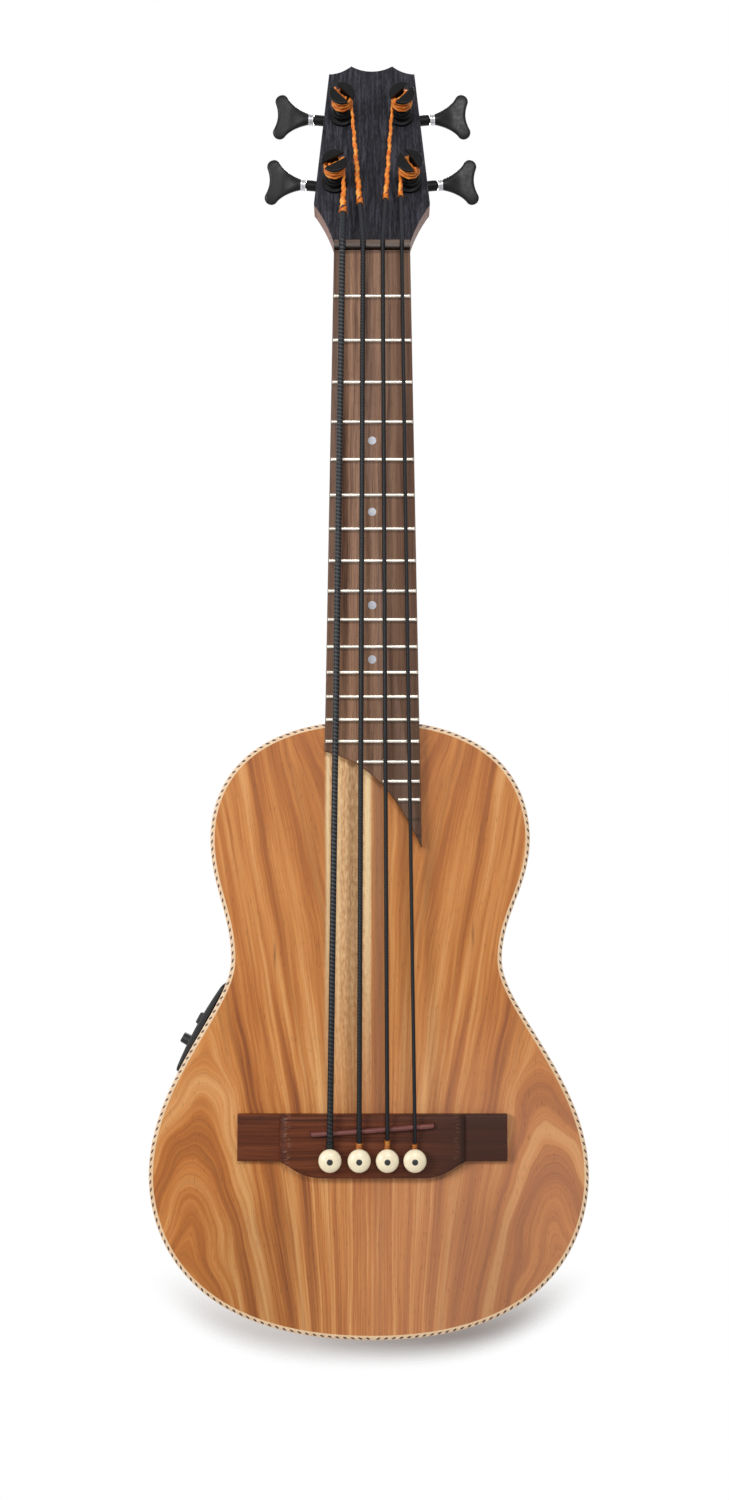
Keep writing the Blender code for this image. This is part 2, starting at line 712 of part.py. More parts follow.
def head_half_outline():
    """Right half of the headstock's outline in its own plane, top centre to nut."""
    top = HEAD_LENGTH
    corner = top - HEAD_CORNER_DROP
    peak = (HEAD_PEAK_HALF, top)
    points = bezier((0.0, top - HEAD_DIP), (0.45 * HEAD_PEAK_HALF, top - HEAD_DIP),
                    (0.75 * HEAD_PEAK_HALF, top - 0.5 * HEAD_DIP), peak, 4)
    points += bezier(peak, (HEAD_PEAK_HALF + 0.3 * (HEAD_TOP_HALF - HEAD_PEAK_HALF),
                            top - 0.6 * HEAD_CORNER_DROP),
                     (HEAD_PEAK_HALF + 0.6 * (HEAD_TOP_HALF - HEAD_PEAK_HALF),
                      top - 0.95 * HEAD_CORNER_DROP), (HEAD_TOP_HALF, corner), 4)
    foot = FRETBOARD_NUT_WIDTH / 2
    lean = (HEAD_WIDE_HALF - HEAD_TOP_HALF) / (corner - HEAD_WIDE_AT)
    reach = HEAD_CORNER_REACH
    upper = (HEAD_WIDE_HALF - reach * lean, HEAD_WIDE_AT + reach)
    shoulder = (HEAD_WIDE_HALF - 0.8 * reach, HEAD_WIDE_AT - reach)
    wide = (HEAD_WIDE_HALF, HEAD_WIDE_AT)
    handle = HEAD_SHOULDER_REACH
    points.append((HEAD_TOP_HALF, corner))
    points += bezier(upper, wide, wide, shoulder, 2)
    points += bezier(shoulder, (shoulder[0] - 0.62 * handle, shoulder[1] - handle),
                     (foot + 0.27 * handle, handle), (foot, 0.0), 6)
    points.append((foot, 0.0))
    return points


def head_frame(parts):
    """Empty on the headstock's face: X across, Y up the face, Z out of it."""
    frame = bpy.data.objects.new("headstock_frame", None)
    parts.objects.link(frame)
    place = Matrix.Translation((0.0, FACE_Y + HEAD_FACE_DROP, HEAD_START))
    frame.matrix_world = place @ Matrix.Rotation(math.pi / 2 - HEAD_TILT, 4, "X")
    bpy.context.view_layer.update()
    return frame


def make_neck(parts, cutters, mats, head):
    neck = loft("neck", [neck_ring(z) for z in neck_heights()], parts)
    outline = mirrored(head_half_outline())
    wood = HEAD_THICKNESS - VENEER_THICKNESS - GAP
    slab = flat_piece("headstock_core", [outline], wood, cutters, head.matrix_world
                      @ Matrix.Translation((0.0, 0.0, -HEAD_THICKNESS + wood / 2)))
    join(neck, slab)
    body = flat_piece("body_clearance", [body_outline(-GAP)], 3 * BODY_DEPTH, cutters,
                      facing_front(TOP_Y + BODY_DEPTH / 2))
    cut(neck, body)
    holes = [circle(BARREL_RADIUS + GAP, (side * across, up))
             for up, across in POST_ROWS for side in (-1, 1)]
    for i, hole in enumerate(holes):
        drill = flat_piece("post_hole_%d" % (i + 1), [hole], 2 * HEAD_THICKNESS, cutters,
                           head.matrix_world @ Matrix.Translation((0, 0, -HEAD_THICKNESS)))
        cut(neck, drill)
    veneer = flat_piece("headstock_veneer", [outline] + holes, VENEER_THICKNESS, parts,
                        head.matrix_world @ Matrix.Translation((0, 0, -VENEER_THICKNESS / 2)))
    finish(neck, mats["mahogany"])
    finish(veneer, mats["ebonized"])


def make_fretboard(parts, cutters, mats):
    nut_end = -GAP
    outline = [(board_half_width(nut_end), nut_end), (-board_half_width(nut_end), nut_end)]
    outline += swoosh()
    middle = facing_front(FACE_Y + FRETBOARD_THICKNESS / 2)
    board = flat_piece("fretboard", [outline], FRETBOARD_THICKNESS, parts, middle)
    finish(board, mats["rosewood"])
    for number in range(1, FRET_COUNT + 1):
        make_fret(number, board, parts, cutters, mats)


def make_fret(number, board, parts, cutters, mats):
    """A fret wire with its tang, and the saw cut that takes it."""
    left, right = fret_span(number)
    z = fret_place(number)
    half = FRET_CROWN_WIDTH / 2
    tang = FRET_TANG_WIDTH / 2
    base = -GAP
    section = [(tang, FRET_TANG_DEPTH), (-tang, FRET_TANG_DEPTH), (-tang, base), (-half, base)]
    section += [(-half * math.cos(math.pi * i / 4),
                 base - (FRET_CROWN_HEIGHT - GAP) * math.sin(math.pi * i / 4))
                for i in range(1, 4)]
    section += [(half, base), (tang, base)]
    rings = [[(x, FACE_Y + depth, z + up) for up, depth in section] for x in (left, right)]
    fret = loft("fret_%02d" % number, rings, parts)
    finish(fret, mats["nickel"])
    past = FRETBOARD_WIDTH_AT_12
    slot = block("fret_slot_%02d" % number, (-past, FACE_Y - OVERCUT, z - tang - GAP),
                 (past, FACE_Y + FRET_TANG_DEPTH + GAP, z + tang + GAP), cutters)
    cut(board, slot)


def make_nut(parts, cutters, mats):
    half = FRETBOARD_NUT_WIDTH / 2
    nut = block("nut", (-half, FACE_Y - NUT_RISE, 0.0),
                (half, TOP_Y - GAP, NUT_LENGTH), parts)
    for i, x in enumerate(string_places(STRING_SPAN_NUT)):
        radius = STRING_DIAMETERS[i] / 2
        y = FACE_Y - STRING_RISE_NUT - radius
        groove = block("nut_slot_%d" % (i + 1), (x - radius - GAP, FACE_Y - OVERCUT, -OVERCUT),
                       (x + radius + GAP, y + radius + GAP, NUT_LENGTH + OVERCUT), cutters)
        cut(nut, groove)
    finish(nut, mats["rosewood"])


# Bridge, saddle and pins

def bridge_outline():
    """The bridge's flat outline: straight above, with a belly below the wings."""
    upper = -SADDLE_AT + BRIDGE_TOP_OFFSET
    lower = upper - BRIDGE_WIDTH
    belly = lower - BELLY_DROP
    end = BRIDGE_LENGTH / 2
    run = BELLY_FOOT_HALF - BELLY_HALF
    half = [(end, upper), (end, lower)]
    half += bezier((BELLY_FOOT_HALF, lower), (BELLY_FOOT_HALF - 0.29 * run, lower),
                   (BELLY_HALF + 0.57 * run, belly), (BELLY_HALF, belly), 7)
    half.append((BELLY_HALF, belly))
    return mirrored(half)


def wing_cutter(side, cutters):
    """The wood taken off above one wing, with a scooped inner end."""
    face = BRIDGE_FACE_Y
    floor = face + BRIDGE_HEIGHT - WING_HEIGHT
    outer = BRIDGE_LENGTH / 2 + OVERCUT
    radius = min(SCOOP_RADIUS, 2 * (BRIDGE_HEIGHT - WING_HEIGHT))
    drop = BRIDGE_HEIGHT - WING_HEIGHT
    reach = math.sqrt(radius * radius - (radius - drop) ** 2)
    points = [(outer, face - OVERCUT), (outer, floor), (WING_START, floor)]
    steps = 5
    start = math.atan2(reach, radius - drop)
    for i in range(1, steps + 1):
        angle = start * i / steps
        points.append((WING_START - radius * math.sin(angle),
                       floor - radius + radius * math.cos(angle)))
    points.append((WING_START - reach, face - OVERCUT))
    rings = [[(side * x, y, z) for x, y in points]
             for z in (-SADDLE_AT - 2 * BRIDGE_WIDTH, -SADDLE_AT + 2 * BRIDGE_WIDTH)]
    return loft("wing_cutter", rings, cutters)


def pin_holes():
    """Loops of the pins' holes, each turned further, so that no corners line up."""
    return [circle(PIN_SHANK_RADIUS + GAP, (x, -SADDLE_AT - PIN_OFFSET), 12, i * PIN_HOLE_TURN)
            for i, x in enumerate(string_places(STRING_SPAN_SADDLE))]


def string_exit(index):
    """How far above its pin's axis a string comes out of the bridge, beside the shank."""
    return PIN_SHANK_RADIUS + GAP + STRING_DIAMETERS[index] / 2


def pin_head_base():
    """Height of a pin head's underside: its string passes beneath it."""
    return max(STRING_DIAMETERS) + 3 * GAP


def make_bridge(parts, cutters, mats):
    pin_z = -SADDLE_AT - PIN_OFFSET
    bridge = flat_piece("bridge", [bridge_outline()] + pin_holes(), BRIDGE_HEIGHT, parts,
                        facing_front(BRIDGE_FACE_Y + BRIDGE_HEIGHT / 2))
    for i, x in enumerate(string_places(STRING_SPAN_SADDLE)):
        radius = STRING_DIAMETERS[i] / 2 + GAP
        hole = cylinder("string_hole_%d" % (i + 1), radius,
                        (x, BRIDGE_FACE_Y - OVERCUT, pin_z + string_exit(i)),
                        (x, BRIDGE_FACE_Y + STRING_ANCHOR_DEPTH + 3 * GAP,
                         pin_z + string_exit(i)), cutters, None, 12)
        cut(bridge, hole)
    for side in (-1, 1):
        cut(bridge, wing_cutter(side, cutters))
    slot_half = SADDLE_LENGTH / 2 + GAP
    width_half = SADDLE_WIDTH / 2 + GAP
    slot = block("saddle_slot", (-slot_half, -OVERCUT, -width_half),
                 (slot_half, SADDLE_SEAT, width_half), cutters, None, saddle_matrix())
    cut(bridge, slot)
    finish(bridge, mats["rosewood"])


def saddle_matrix():
    """Frame of the saddle: its middle on the bridge's face, slanted for the bass side."""
    return (Matrix.Translation((0.0, BRIDGE_FACE_Y, -SADDLE_AT))
            @ Matrix.Rotation(-SADDLE_SLANT, 4, "Y"))


def saddle_z(x):
    """Height of the saddle's crest under the string at x."""
    return -SADDLE_AT + x * math.tan(SADDLE_SLANT)


def make_saddle(parts, mats):
    """A bar with a rounded crest, sunk in its slot."""
    half = SADDLE_LENGTH / 2
    width = SADDLE_WIDTH / 2
    crest = FACE_Y - STRING_RISE_SADDLE - BRIDGE_FACE_Y
    section = [(width, SADDLE_SEAT - GAP), (-width, SADDLE_SEAT - GAP), (-width, crest + width)]
    section += [(-width * math.cos(math.pi * i / 6), crest + width - width
                 * math.sin(math.pi * i / 6)) for i in range(1, 6)]
    section.append((width, crest + width))
    rings = [[(x, y + GAP, z) for z, y in section] for x in (-half, half)]
    saddle = loft("saddle", rings, parts)
    finish(saddle, mats["mahogany"], None, saddle_matrix())


def make_pins(parts, mats):
    base = pin_head_base()
    r = PIN_HEAD_RADIUS
    h = PIN_HEAD_HEIGHT
    shank_end = -BRIDGE_HEIGHT - PLATE_THICKNESS
    profile = [(0.0, base + h), (0.45 * r, base + 0.93 * h), (0.80 * r, base + 0.68 * h),
               (0.97 * r, base + 0.36 * h), (r, base + 0.14 * h), (0.93 * r, base),
               (PIN_SHANK_RADIUS, base), (PIN_SHANK_RADIUS, 0.0),
               (PIN_SHANK_RADIUS * 0.88, shank_end), (0.0, shank_end)]
    for i, x in enumerate(string_places(STRING_SPAN_SADDLE)):
        pin = turned("bridge_pin_%d" % (i + 1), profile, parts, 12)
        place = (Matrix.Translation((x, BRIDGE_FACE_Y, -SADDLE_AT - PIN_OFFSET))
                 @ Matrix.Rotation(math.pi / 2, 4, "X"))
        finish(pin, mats["ivoroid"], None, place)


# Tuning machines

def machine_frames(parts, head):
    """One empty for each post: X out along the key, Z out of the headstock's face."""
    frames = []
    for row, (up, across) in enumerate(POST_ROWS):
        for side in (-1, 1):
            outward = Vector((side * math.cos(MACHINE_TURN), math.sin(MACHINE_TURN), 0.0))
            normal = Vector((0.0, 0.0, 1.0))
            third = normal.cross(outward)
            turn = Matrix((outward, third, normal)).transposed().to_4x4()
            frame = bpy.data.objects.new("machine_frame", None)
            parts.objects.link(frame)
            frame.matrix_world = (head.matrix_world
                                  @ Matrix.Translation((side * across, up, 0.0)) @ turn)
            frames.append((frame, side))
    bpy.context.view_layer.update()
    names = ("bass_lower", "treble_lower", "bass_upper", "treble_upper")
    return {name: place for name, place in zip(names, frames)}


def make_housing(name, frame, side, parts, cutters, mats):
    """Cup over the gears, open towards the headstock, with a sleeve for the key's shaft."""
    tip = WORM_OFFSET + WORM_PITCH_RADIUS + ADDENDUM + 2 * GAP
    tail = WHEEL_PITCH_RADIUS + ADDENDUM + 2 * GAP
    half = tail
    low = (-half, -tail) if side > 0 else (-half, -tip)
    high = (half, tip) if side > 0 else (half, tail)
    wall = HOUSING_WALL
    outer = rounded_rectangle((low[0] - wall, low[1] - wall), (high[0] + wall, high[1] + wall),
                              HOUSING_CORNER)
    inner = rounded_rectangle(low, high, HOUSING_CORNER - wall)
    floor = HOUSING_FLOOR - wall
    world = frame.matrix_world
    shell = flat_piece("housing_" + name, [outer], HOUSING_TOP - floor, parts,
                       world @ Matrix.Translation((0, 0, (HOUSING_TOP + floor) / 2)))
    cavity = flat_piece("cavity_" + name, [inner], 2 * OVERCUT, cutters,
                        world @ Matrix.Translation((0, 0, HOUSING_FLOOR + OVERCUT)))
    y = side * WORM_OFFSET
    start = high[0] + wall / 2
    sleeve = cylinder("sleeve_" + name, SLEEVE_RADIUS, (start, y, -SHAFT_DEPTH),
                      (SLEEVE_END, y, -SHAFT_DEPTH), cutters, frame, 16)
    bore = cylinder("sleeve_bore_" + name, SHAFT_RADIUS + GAP, (0.0, y, -SHAFT_DEPTH),
                    (SLEEVE_END + OVERCUT, y, -SHAFT_DEPTH), cutters, frame, 16)
    cut(shell, cavity)
    join(shell, sleeve)
    cut(shell, bore)
    finish(shell, mats["black"])


def make_bushing(name, frame, parts, mats):
    """Washer, round nut and barrel that hold a machine from the front."""
    bore = POST_RADIUS + GAP
    top = BUSHING_HEIGHT
    low = GAP + WASHER_THICKNESS
    profile = [(bore, top), (BUSHING_RADIUS - EDGE_BREAK, top),
               (BUSHING_RADIUS, top - EDGE_BREAK),
               (BUSHING_RADIUS, low), (WASHER_RADIUS, low), (WASHER_RADIUS, GAP),
               (BARREL_RADIUS, GAP), (BARREL_RADIUS, -HEAD_THICKNESS),
               (bore, -HEAD_THICKNESS)]
    bushing = turned("bushing_" + name, profile, parts, 14, ring=True)
    finish(bushing, mats["black"], frame)


def tooth_half(height):
    """Half a tooth's width at a height above the pitch line."""
    return WORM_PITCH / 4 - GEAR_PLAY / 2 - FLANK_SLOPE * height


def wheel_loft(name, collection, frame):
    """Worm wheel: tapered teeth twisted to the worm's lead, a gap towards the worm."""
    teeth = WHEEL_TEETH
    pitch = 2 * math.pi / teeth
    root = WHEEL_PITCH_RADIUS - DEDENDUM
    tip = WHEEL_PITCH_RADIUS + ADDENDUM
    root_half = tooth_half(-DEDENDUM) / root
    tip_half = tooth_half(ADDENDUM) / tip
    lead = WORM_PITCH / (2 * math.pi * WORM_PITCH_RADIUS)
    rings = []
    for end in (-0.5, 0.5):
        z = -SHAFT_DEPTH + end * WHEEL_THICKNESS
        twist = lead * end * WHEEL_THICKNESS / WHEEL_PITCH_RADIUS
        ring = []
        for k in range(teeth):
            middle = math.pi / 2 + (k + 0.5) * pitch + twist
            for radius, angle in ((root, -root_half), (tip, -tip_half),
                                  (tip, tip_half), (root, root_half)):
                ring.append((radius * math.cos(middle + angle),
                             radius * math.sin(middle + angle), z))
        rings.append(ring)
    return finish(loft(name, rings, collection), None, frame)


def make_post(name, frame, slot_angle, parts, cutters, mats):
    """String post with its slotted cap, and the worm wheel at its lower end."""
    top = POST_HEIGHT
    under = top - CAP_THICKNESS
    wheel_low = -SHAFT_DEPTH - WHEEL_THICKNESS / 2
    foot = HOUSING_FLOOR + GAP
    profile = [(0.0, top), (CAP_RADIUS - EDGE_BREAK, top), (CAP_RADIUS, top - EDGE_BREAK),
               (CAP_RADIUS, under), (SPOOL_RADIUS, under),
               (SPOOL_RADIUS, BUSHING_HEIGHT + GAP), (POST_RADIUS, BUSHING_HEIGHT + GAP),
               (POST_RADIUS, wheel_low - GAP), (POST_RADIUS / 2, wheel_low - GAP),
               (POST_RADIUS / 2, foot), (0.0, foot)]
    post = turned("post_" + name, profile, parts, 14)
    finish(post, mats["black"], frame)
    wheel = wheel_loft("wheel_" + name, cutters, frame)
    join(post, wheel)
    slot = block("cap_slot_" + name, (-2 * CAP_RADIUS, -CAP_SLOT_WIDTH / 2, top - CAP_SLOT_DEPTH),
                 (2 * CAP_RADIUS, CAP_SLOT_WIDTH / 2, top + OVERCUT), cutters, frame,
                 Matrix.Rotation(math.radians(slot_angle), 4, "Z"))
    cut(post, slot)


def worm_thread(name, collection, frame, side):
    """One-start right-hand thread along local X, a tooth towards the wheel in its middle."""
    steps = 10
    depth = DEDENDUM + 0.0004
    sides = ((-depth, -1), (ADDENDUM, -1), (ADDENDUM, 1), (-depth, 1))
    towards_wheel = math.pi if side > 0 else 0.0
    rings = []
    for i in range(WORM_TURNS * steps + 1):
        turn = i / steps - WORM_TURNS / 2
        angle = towards_wheel + 2 * math.pi * turn
        ring = []
        for height, flank in sides:
            x = WORM_PITCH * turn + flank * tooth_half(height)
            radius = WORM_PITCH_RADIUS + height
            ring.append((x, radius * math.cos(angle), radius * math.sin(angle)))
        rings.append(ring)
    return finish(loft(name, rings, collection), None, frame)


def key_half_outline():
    """Upper half of the key's paddle: a narrow neck that opens into a round lobe."""
    lobe = (KEY_LENGTH - KEY_LOBE_RADIUS, KEY_HALF_HEIGHT - KEY_LOBE_RADIUS)
    start = math.radians(155.0)
    end = math.radians(-15.0)
    join_point = (lobe[0] + KEY_LOBE_RADIUS * math.cos(start),
                  lobe[1] + KEY_LOBE_RADIUS * math.sin(start))
    neck_half = 0.92 * RING_RADIUS
    points = bezier((0.0, neck_half), (0.20 * KEY_LENGTH, 1.35 * neck_half),
                    (0.47 * KEY_LENGTH, 0.50 * KEY_HALF_HEIGHT), join_point, 4)
    steps = 5
    for i in range(steps):
        angle = start + (end - start) * i / steps
        points.append((lobe[0] + KEY_LOBE_RADIUS * math.cos(angle),
                       lobe[1] + KEY_LOBE_RADIUS * math.sin(angle)))
    last = (lobe[0] + KEY_LOBE_RADIUS * math.cos(end), lobe[1] + KEY_LOBE_RADIUS * math.sin(end))
    hollow = KEY_LENGTH - KEY_HOLLOW
    points += bezier(last, (hollow + 0.25 * KEY_HOLLOW, 0.60 * last[1]),
                     (hollow, 0.30 * last[1]), (hollow, 0.0), 2)
    points.append((hollow, 0.0))
    return points


def make_key(name, frame, side, parts, cutters, mats):
    """Key, its shaft and worm in one piece, which turns about the shaft's axis."""
    axis = bpy.data.objects.new("key_axis_" + name, None)
    parts.objects.link(axis)
    finish(axis, None, frame, Matrix.Translation((0.0, side * WORM_OFFSET, -SHAFT_DEPTH)))
    bpy.context.view_layer.update()
    ring_start = SLEEVE_END + GAP
    ring_end = ring_start + RING_LENGTH
    inner_end = -(WHEEL_PITCH_RADIUS + ADDENDUM + GAP)
    core = WORM_PITCH_RADIUS - DEDENDUM
    worm_half = WORM_PITCH * (WORM_TURNS / 2 + 0.5)
    shoulder = ring_end + 4 * KEY_SEAT
    profile = [(0.0, shoulder), (0.85 * RING_RADIUS, shoulder),
               (RING_RADIUS, ring_end), (RING_RADIUS, ring_start),
               (SHAFT_RADIUS, ring_start), (SHAFT_RADIUS, worm_half), (core, worm_half),
               (core, -worm_half), (SHAFT_RADIUS, -worm_half), (SHAFT_RADIUS, inner_end),
               (0.0, inner_end)]
    key = turned("key_" + name, profile, parts, 12)
    finish(key, mats["black"], axis, Matrix.Rotation(math.pi / 2, 4, "Y"))
    half = key_half_outline()
    outline = half + [(x, -y) for x, y in reversed(half) if y > 0]
    tilt = Matrix.Rotation(side * KEY_REST_TILT, 4, "X")
    paddle = flat_piece("paddle_" + name, [outline], KEY_THICKNESS, cutters, axis.matrix_world
                        @ tilt @ Matrix.Translation((ring_end + KEY_SEAT, 0.0, 0.0)),
                        KEY_EDGE_BEVEL)
    join(key, paddle)
    worm = worm_thread("worm_" + name, cutters, axis, side)
    join(key, worm)


# Strings

def arc_between(previous, corner, following, radius, steps=4):
    """Round a corner of a path with a few points."""
    a = (previous - corner).normalized()
    b = (following - corner).normalized()
    half = a.angle(b) / 2
    back = radius / math.tan(half)
    centre = corner + (a + b).normalized() * (radius / math.sin(half))
    first = corner + a * back - centre
    last = corner + b * back - centre
    points = []
    for i in range(steps + 1):
        points.append(centre + first.length * first.slerp(last, i / steps))
    return points


def winding(frame, side, entry, wire):
    """Centre line of a string's turns, from the lowest up to the cap, in world space."""
    local = frame.matrix_world.inverted() @ entry
    radius = SPOOL_RADIUS + 1.2 * GAP + wire / 2
    rise = wire + TURN_GAP
    low = POST_HEIGHT - CAP_THICKNESS - 1.5 * GAP - wire / 2 - WINDING_TURNS * rise
    distance = math.hypot(local.x, local.y)
    bearing = math.atan2(local.y, local.x)
    offset = math.acos(radius / distance)
    world = frame.matrix_world
    inner = min((bearing + sign * offset for sign in (-1, 1)),
                key=lambda angle: side * (world @ Vector((radius * math.cos(angle),
                                                          radius * math.sin(angle), 0.0))).x)
    start = Vector((radius * math.cos(inner), radius * math.sin(inner), 0.0))
    heading = (start - Vector((local.x, local.y, 0.0))).normalized()
    sense = 1.0 if start.cross(heading).z > 0 else -1.0
    points = []
    total = WINDING_TURNS * LOOP_POINTS
    for i in range(total + 1):
        turn = i / LOOP_POINTS
        angle = inner + sense * 2 * math.pi * turn
        points.append(world @ Vector((radius * math.cos(angle), radius * math.sin(angle),
                                      low + rise * turn)))
    return points


def string_route(index, frame, side):
    """Centre line and radii of one string, from the bridge to the end of its winding."""
    diameter = STRING_DIAMETERS[index]
    radius = diameter / 2
    x_nut = string_places(STRING_SPAN_NUT)[index]
    x_saddle = string_places(STRING_SPAN_SADDLE)[index]
    exit_z = -SADDLE_AT - PIN_OFFSET + string_exit(index)
    anchor = Vector((x_saddle, BRIDGE_FACE_Y + STRING_ANCHOR_DEPTH, exit_z))
    mouth = Vector((x_saddle, BRIDGE_FACE_Y - GAP - radius, exit_z))
    crest = Vector((x_saddle, FACE_Y - STRING_RISE_SADDLE - radius, saddle_z(x_saddle)))
    nut_front = Vector((x_nut, FACE_Y - STRING_RISE_NUT - radius, GAP))
    nut_back = Vector((x_nut, FACE_Y - STRING_RISE_NUT - radius, NUT_LENGTH))
    coil = winding(frame, side, nut_back, SILK_DIAMETER)
    path = [anchor]
    path += arc_between(anchor, mouth, crest, 1.05 * radius)
    path += arc_between(mouth, crest, nut_front, SADDLE_BEND_RADIUS, 3)
    path += [nut_front, nut_back]
    radii = [radius] * len(path)
    run_end = coil[0]
    for share, thickness in WRAP_STEPS:
        path.append(nut_back.lerp(run_end, share))
        radii.append(thickness * radius)
    path.append(nut_back.lerp(run_end, WRAP_END))
    radii.append((diameter + SILK_DIAMETER) / 4)
    path += coil
    radii += [SILK_DIAMETER / 2] * len(coil)
    return path, radii


def self_gap(path, radii):
    """Least air between parts of a string that are over half a loop apart."""
    points = np.array([tuple(p) for p in path])
    sizes = np.array(radii)
    apart = LOOP_POINTS // 2
    least = 1.0
    for i in range(len(points) - apart):
        other = points[i + apart:]
        distance = np.linalg.norm(other - points[i], axis=1) - sizes[i] - sizes[i + apart:]
        least = min(least, float(distance.min()))
    return least


def make_string(index, frame, side, parts, mats):
    path, radii = string_route(index, frame, side)
    curve = bpy.data.curves.new("string_%d" % (index + 1), "CURVE")
    curve.dimensions = "3D"
    curve.bevel_depth = 1.0
    curve.bevel_resolution = 1
    curve.use_fill_caps = True
    spline = curve.splines.new("POLY")
    spline.points.add(len(path) - 1)
    for point, place, radius in zip(spline.points, path, radii):
        point.co = (*place, 1.0)
        point.radius = radius
    obj = bpy.data.objects.new(curve.name, curve)
    parts.objects.link(obj)
    finish(obj, mats["string"])
    print("string %d: least gap to itself %.2f mm"
          % (index + 1, 1000 * self_gap(path, radii)))


# Preamp and output socket

def preamp_frame(parts):
    """Empty on the bass side: X along the panel to the tail, Y across it, Z outwards."""
    place, normal = outline_place(-1, PREAMP_AT)
    half = PANEL_LENGTH / 2
    first, _ = outline_place(-1, PREAMP_AT - half * abs(normal.x))
    last, _ = outline_place(-1, PREAMP_AT + half * abs(normal.x))
    along = (last - first).normalized()
    outward = Vector((0.0, 1.0, 0.0)).cross(along)
    if outward.x > 0:
        outward.negate()
    across = outward.cross(along)
    frame = bpy.data.objects.new("preamp_frame", None)
    parts.objects.link(frame)
    turn = Matrix((along, across, outward)).transposed().to_4x4()
    middle = (first + last) / 2
    frame.matrix_world = Matrix.Translation((middle.x, TOP_Y + BODY_DEPTH / 2, middle.z)) @ turn
    bpy.context.view_layer.update()
    return frame


def panel_top(x):
    """Height of the preamp panel's crowned face above its back."""
    return PANEL_THICKNESS - PANEL_CROWN * (2 * x / PANEL_LENGTH) ** 2


def panel_ring(x):
    """Section across the preamp panel, narrower in its rounded corners."""
    past = max(0.0, abs(x) - (PANEL_LENGTH / 2 - PANEL_CORNER))
    half = PANEL_WIDTH / 2 - PANEL_CORNER + math.sqrt(max(0.0, PANEL_CORNER ** 2 - past ** 2))
    bevel = PANEL_BEVEL
    top = panel_top(x)
    return [(x, half, 0.0), (x, half, top - bevel), (x, half - bevel, top),
            (x, bevel - half, top), (x, -half, top - bevel), (x, -half, 0.0)]


def make_preamp(frame, sides, parts, cutters, mats):
    """Panel on the side with an open-backed box behind it, a knob and a push button."""
    world = frame.matrix_world
    low = PANEL_STAND_OFF
    half = PANEL_LENGTH / 2
    corner = PANEL_CORNER
    stations = [half, half - 0.15 * corner, half - 0.5 * corner, half - corner]
    stations = stations + [0.45 * half, 0.0] + [-0.45 * half] + [-x for x in reversed(stations)]
    panel = loft("preamp_housing", [panel_ring(x) for x in stations], parts)
    panel.matrix_world = world @ Matrix.Translation((0.0, 0.0, low))
    half_x = BOX_LENGTH / 2
    half_y = BOX_WIDTH / 2
    box = block("preamp_box", (-half_x, -half_y, -BOX_DEPTH), (half_x, half_y, low + BOX_WALL),
                cutters, frame)
    hollow = block("preamp_hollow",
                   (-half_x + BOX_WALL, -half_y + BOX_WALL, -BOX_DEPTH - OVERCUT),
                   (half_x - BOX_WALL, half_y - BOX_WALL, low), cutters, frame)
    opening = block("preamp_opening", (-half_x - GAP, -half_y - GAP, -BOX_DEPTH - OVERCUT),
                    (half_x + GAP, half_y + GAP, 2 * OVERCUT), cutters, frame)
    shaft_hole = cylinder("knob_hole", KNOB_SHAFT_RADIUS + GAP, (KNOB_OFFSET, 0, -OVERCUT),
                          (KNOB_OFFSET, 0, 2 * OVERCUT), cutters, frame, 12)
    reach_x = BUTTON_LENGTH / 2 + GAP
    reach_y = BUTTON_WIDTH / 2 + GAP
    button_hole = block("button_hole", (BUTTON_OFFSET - reach_x, -reach_y, -OVERCUT),
                        (BUTTON_OFFSET + reach_x, reach_y, 2 * OVERCUT), cutters, frame)
    join(panel, box)
    for tool in (hollow, shaft_hole, button_hole):
        cut(panel, tool)
    cut(sides, opening)
    finish(panel, mats["plastic"])
    make_knob(frame, low + panel_top(KNOB_OFFSET - KNOB_RADIUS), parts, mats)
    make_button(frame, low, parts, mats)


def make_knob(frame, face, parts, mats):
    """Volume knob: a slightly tapered cap on a shaft that passes through the panel."""
    r = KNOB_RADIUS
    base = face + GAP
    top = base + KNOB_HEIGHT
    shaft_end = face - PANEL_THICKNESS - KNOB_SHAFT_REACH
    profile = [(0.0, top), (0.82 * r, top), (0.94 * r, top - EDGE_BREAK), (r, base),
               (KNOB_SHAFT_RADIUS, base), (KNOB_SHAFT_RADIUS, shaft_end), (0.0, shaft_end)]
    knob = turned("volume_knob", profile, parts, 20)
    finish(knob, mats["plastic"], frame, Matrix.Translation((KNOB_OFFSET, 0, 0)))


def make_button(frame, low, parts, mats):
    """Push button with a bevelled top, guided by its hole and kept in by a rim."""
    half_x = BUTTON_LENGTH / 2
    half_y = BUTTON_WIDTH / 2
    top = PANEL_THICKNESS + BUTTON_PROUD
    bevel = BUTTON_PROUD / 2
    rim = BUTTON_RIM
    levels = ((-GAP - rim, half_x + rim, half_y + rim), (-GAP, half_x + rim, half_y + rim),
              (-GAP, half_x, half_y), (top - bevel, half_x, half_y),
              (top, half_x - bevel, half_y - bevel * 0.6))
    rings = [[(x, y, z) for x, y in rounded_rectangle((-a, -b), (a, b), BUTTON_CORNER, 2)]
             for z, a, b in levels]
    button = loft("push_button", rings, parts)
    finish(button, mats["plastic"], frame, Matrix.Translation((BUTTON_OFFSET, 0, low)))


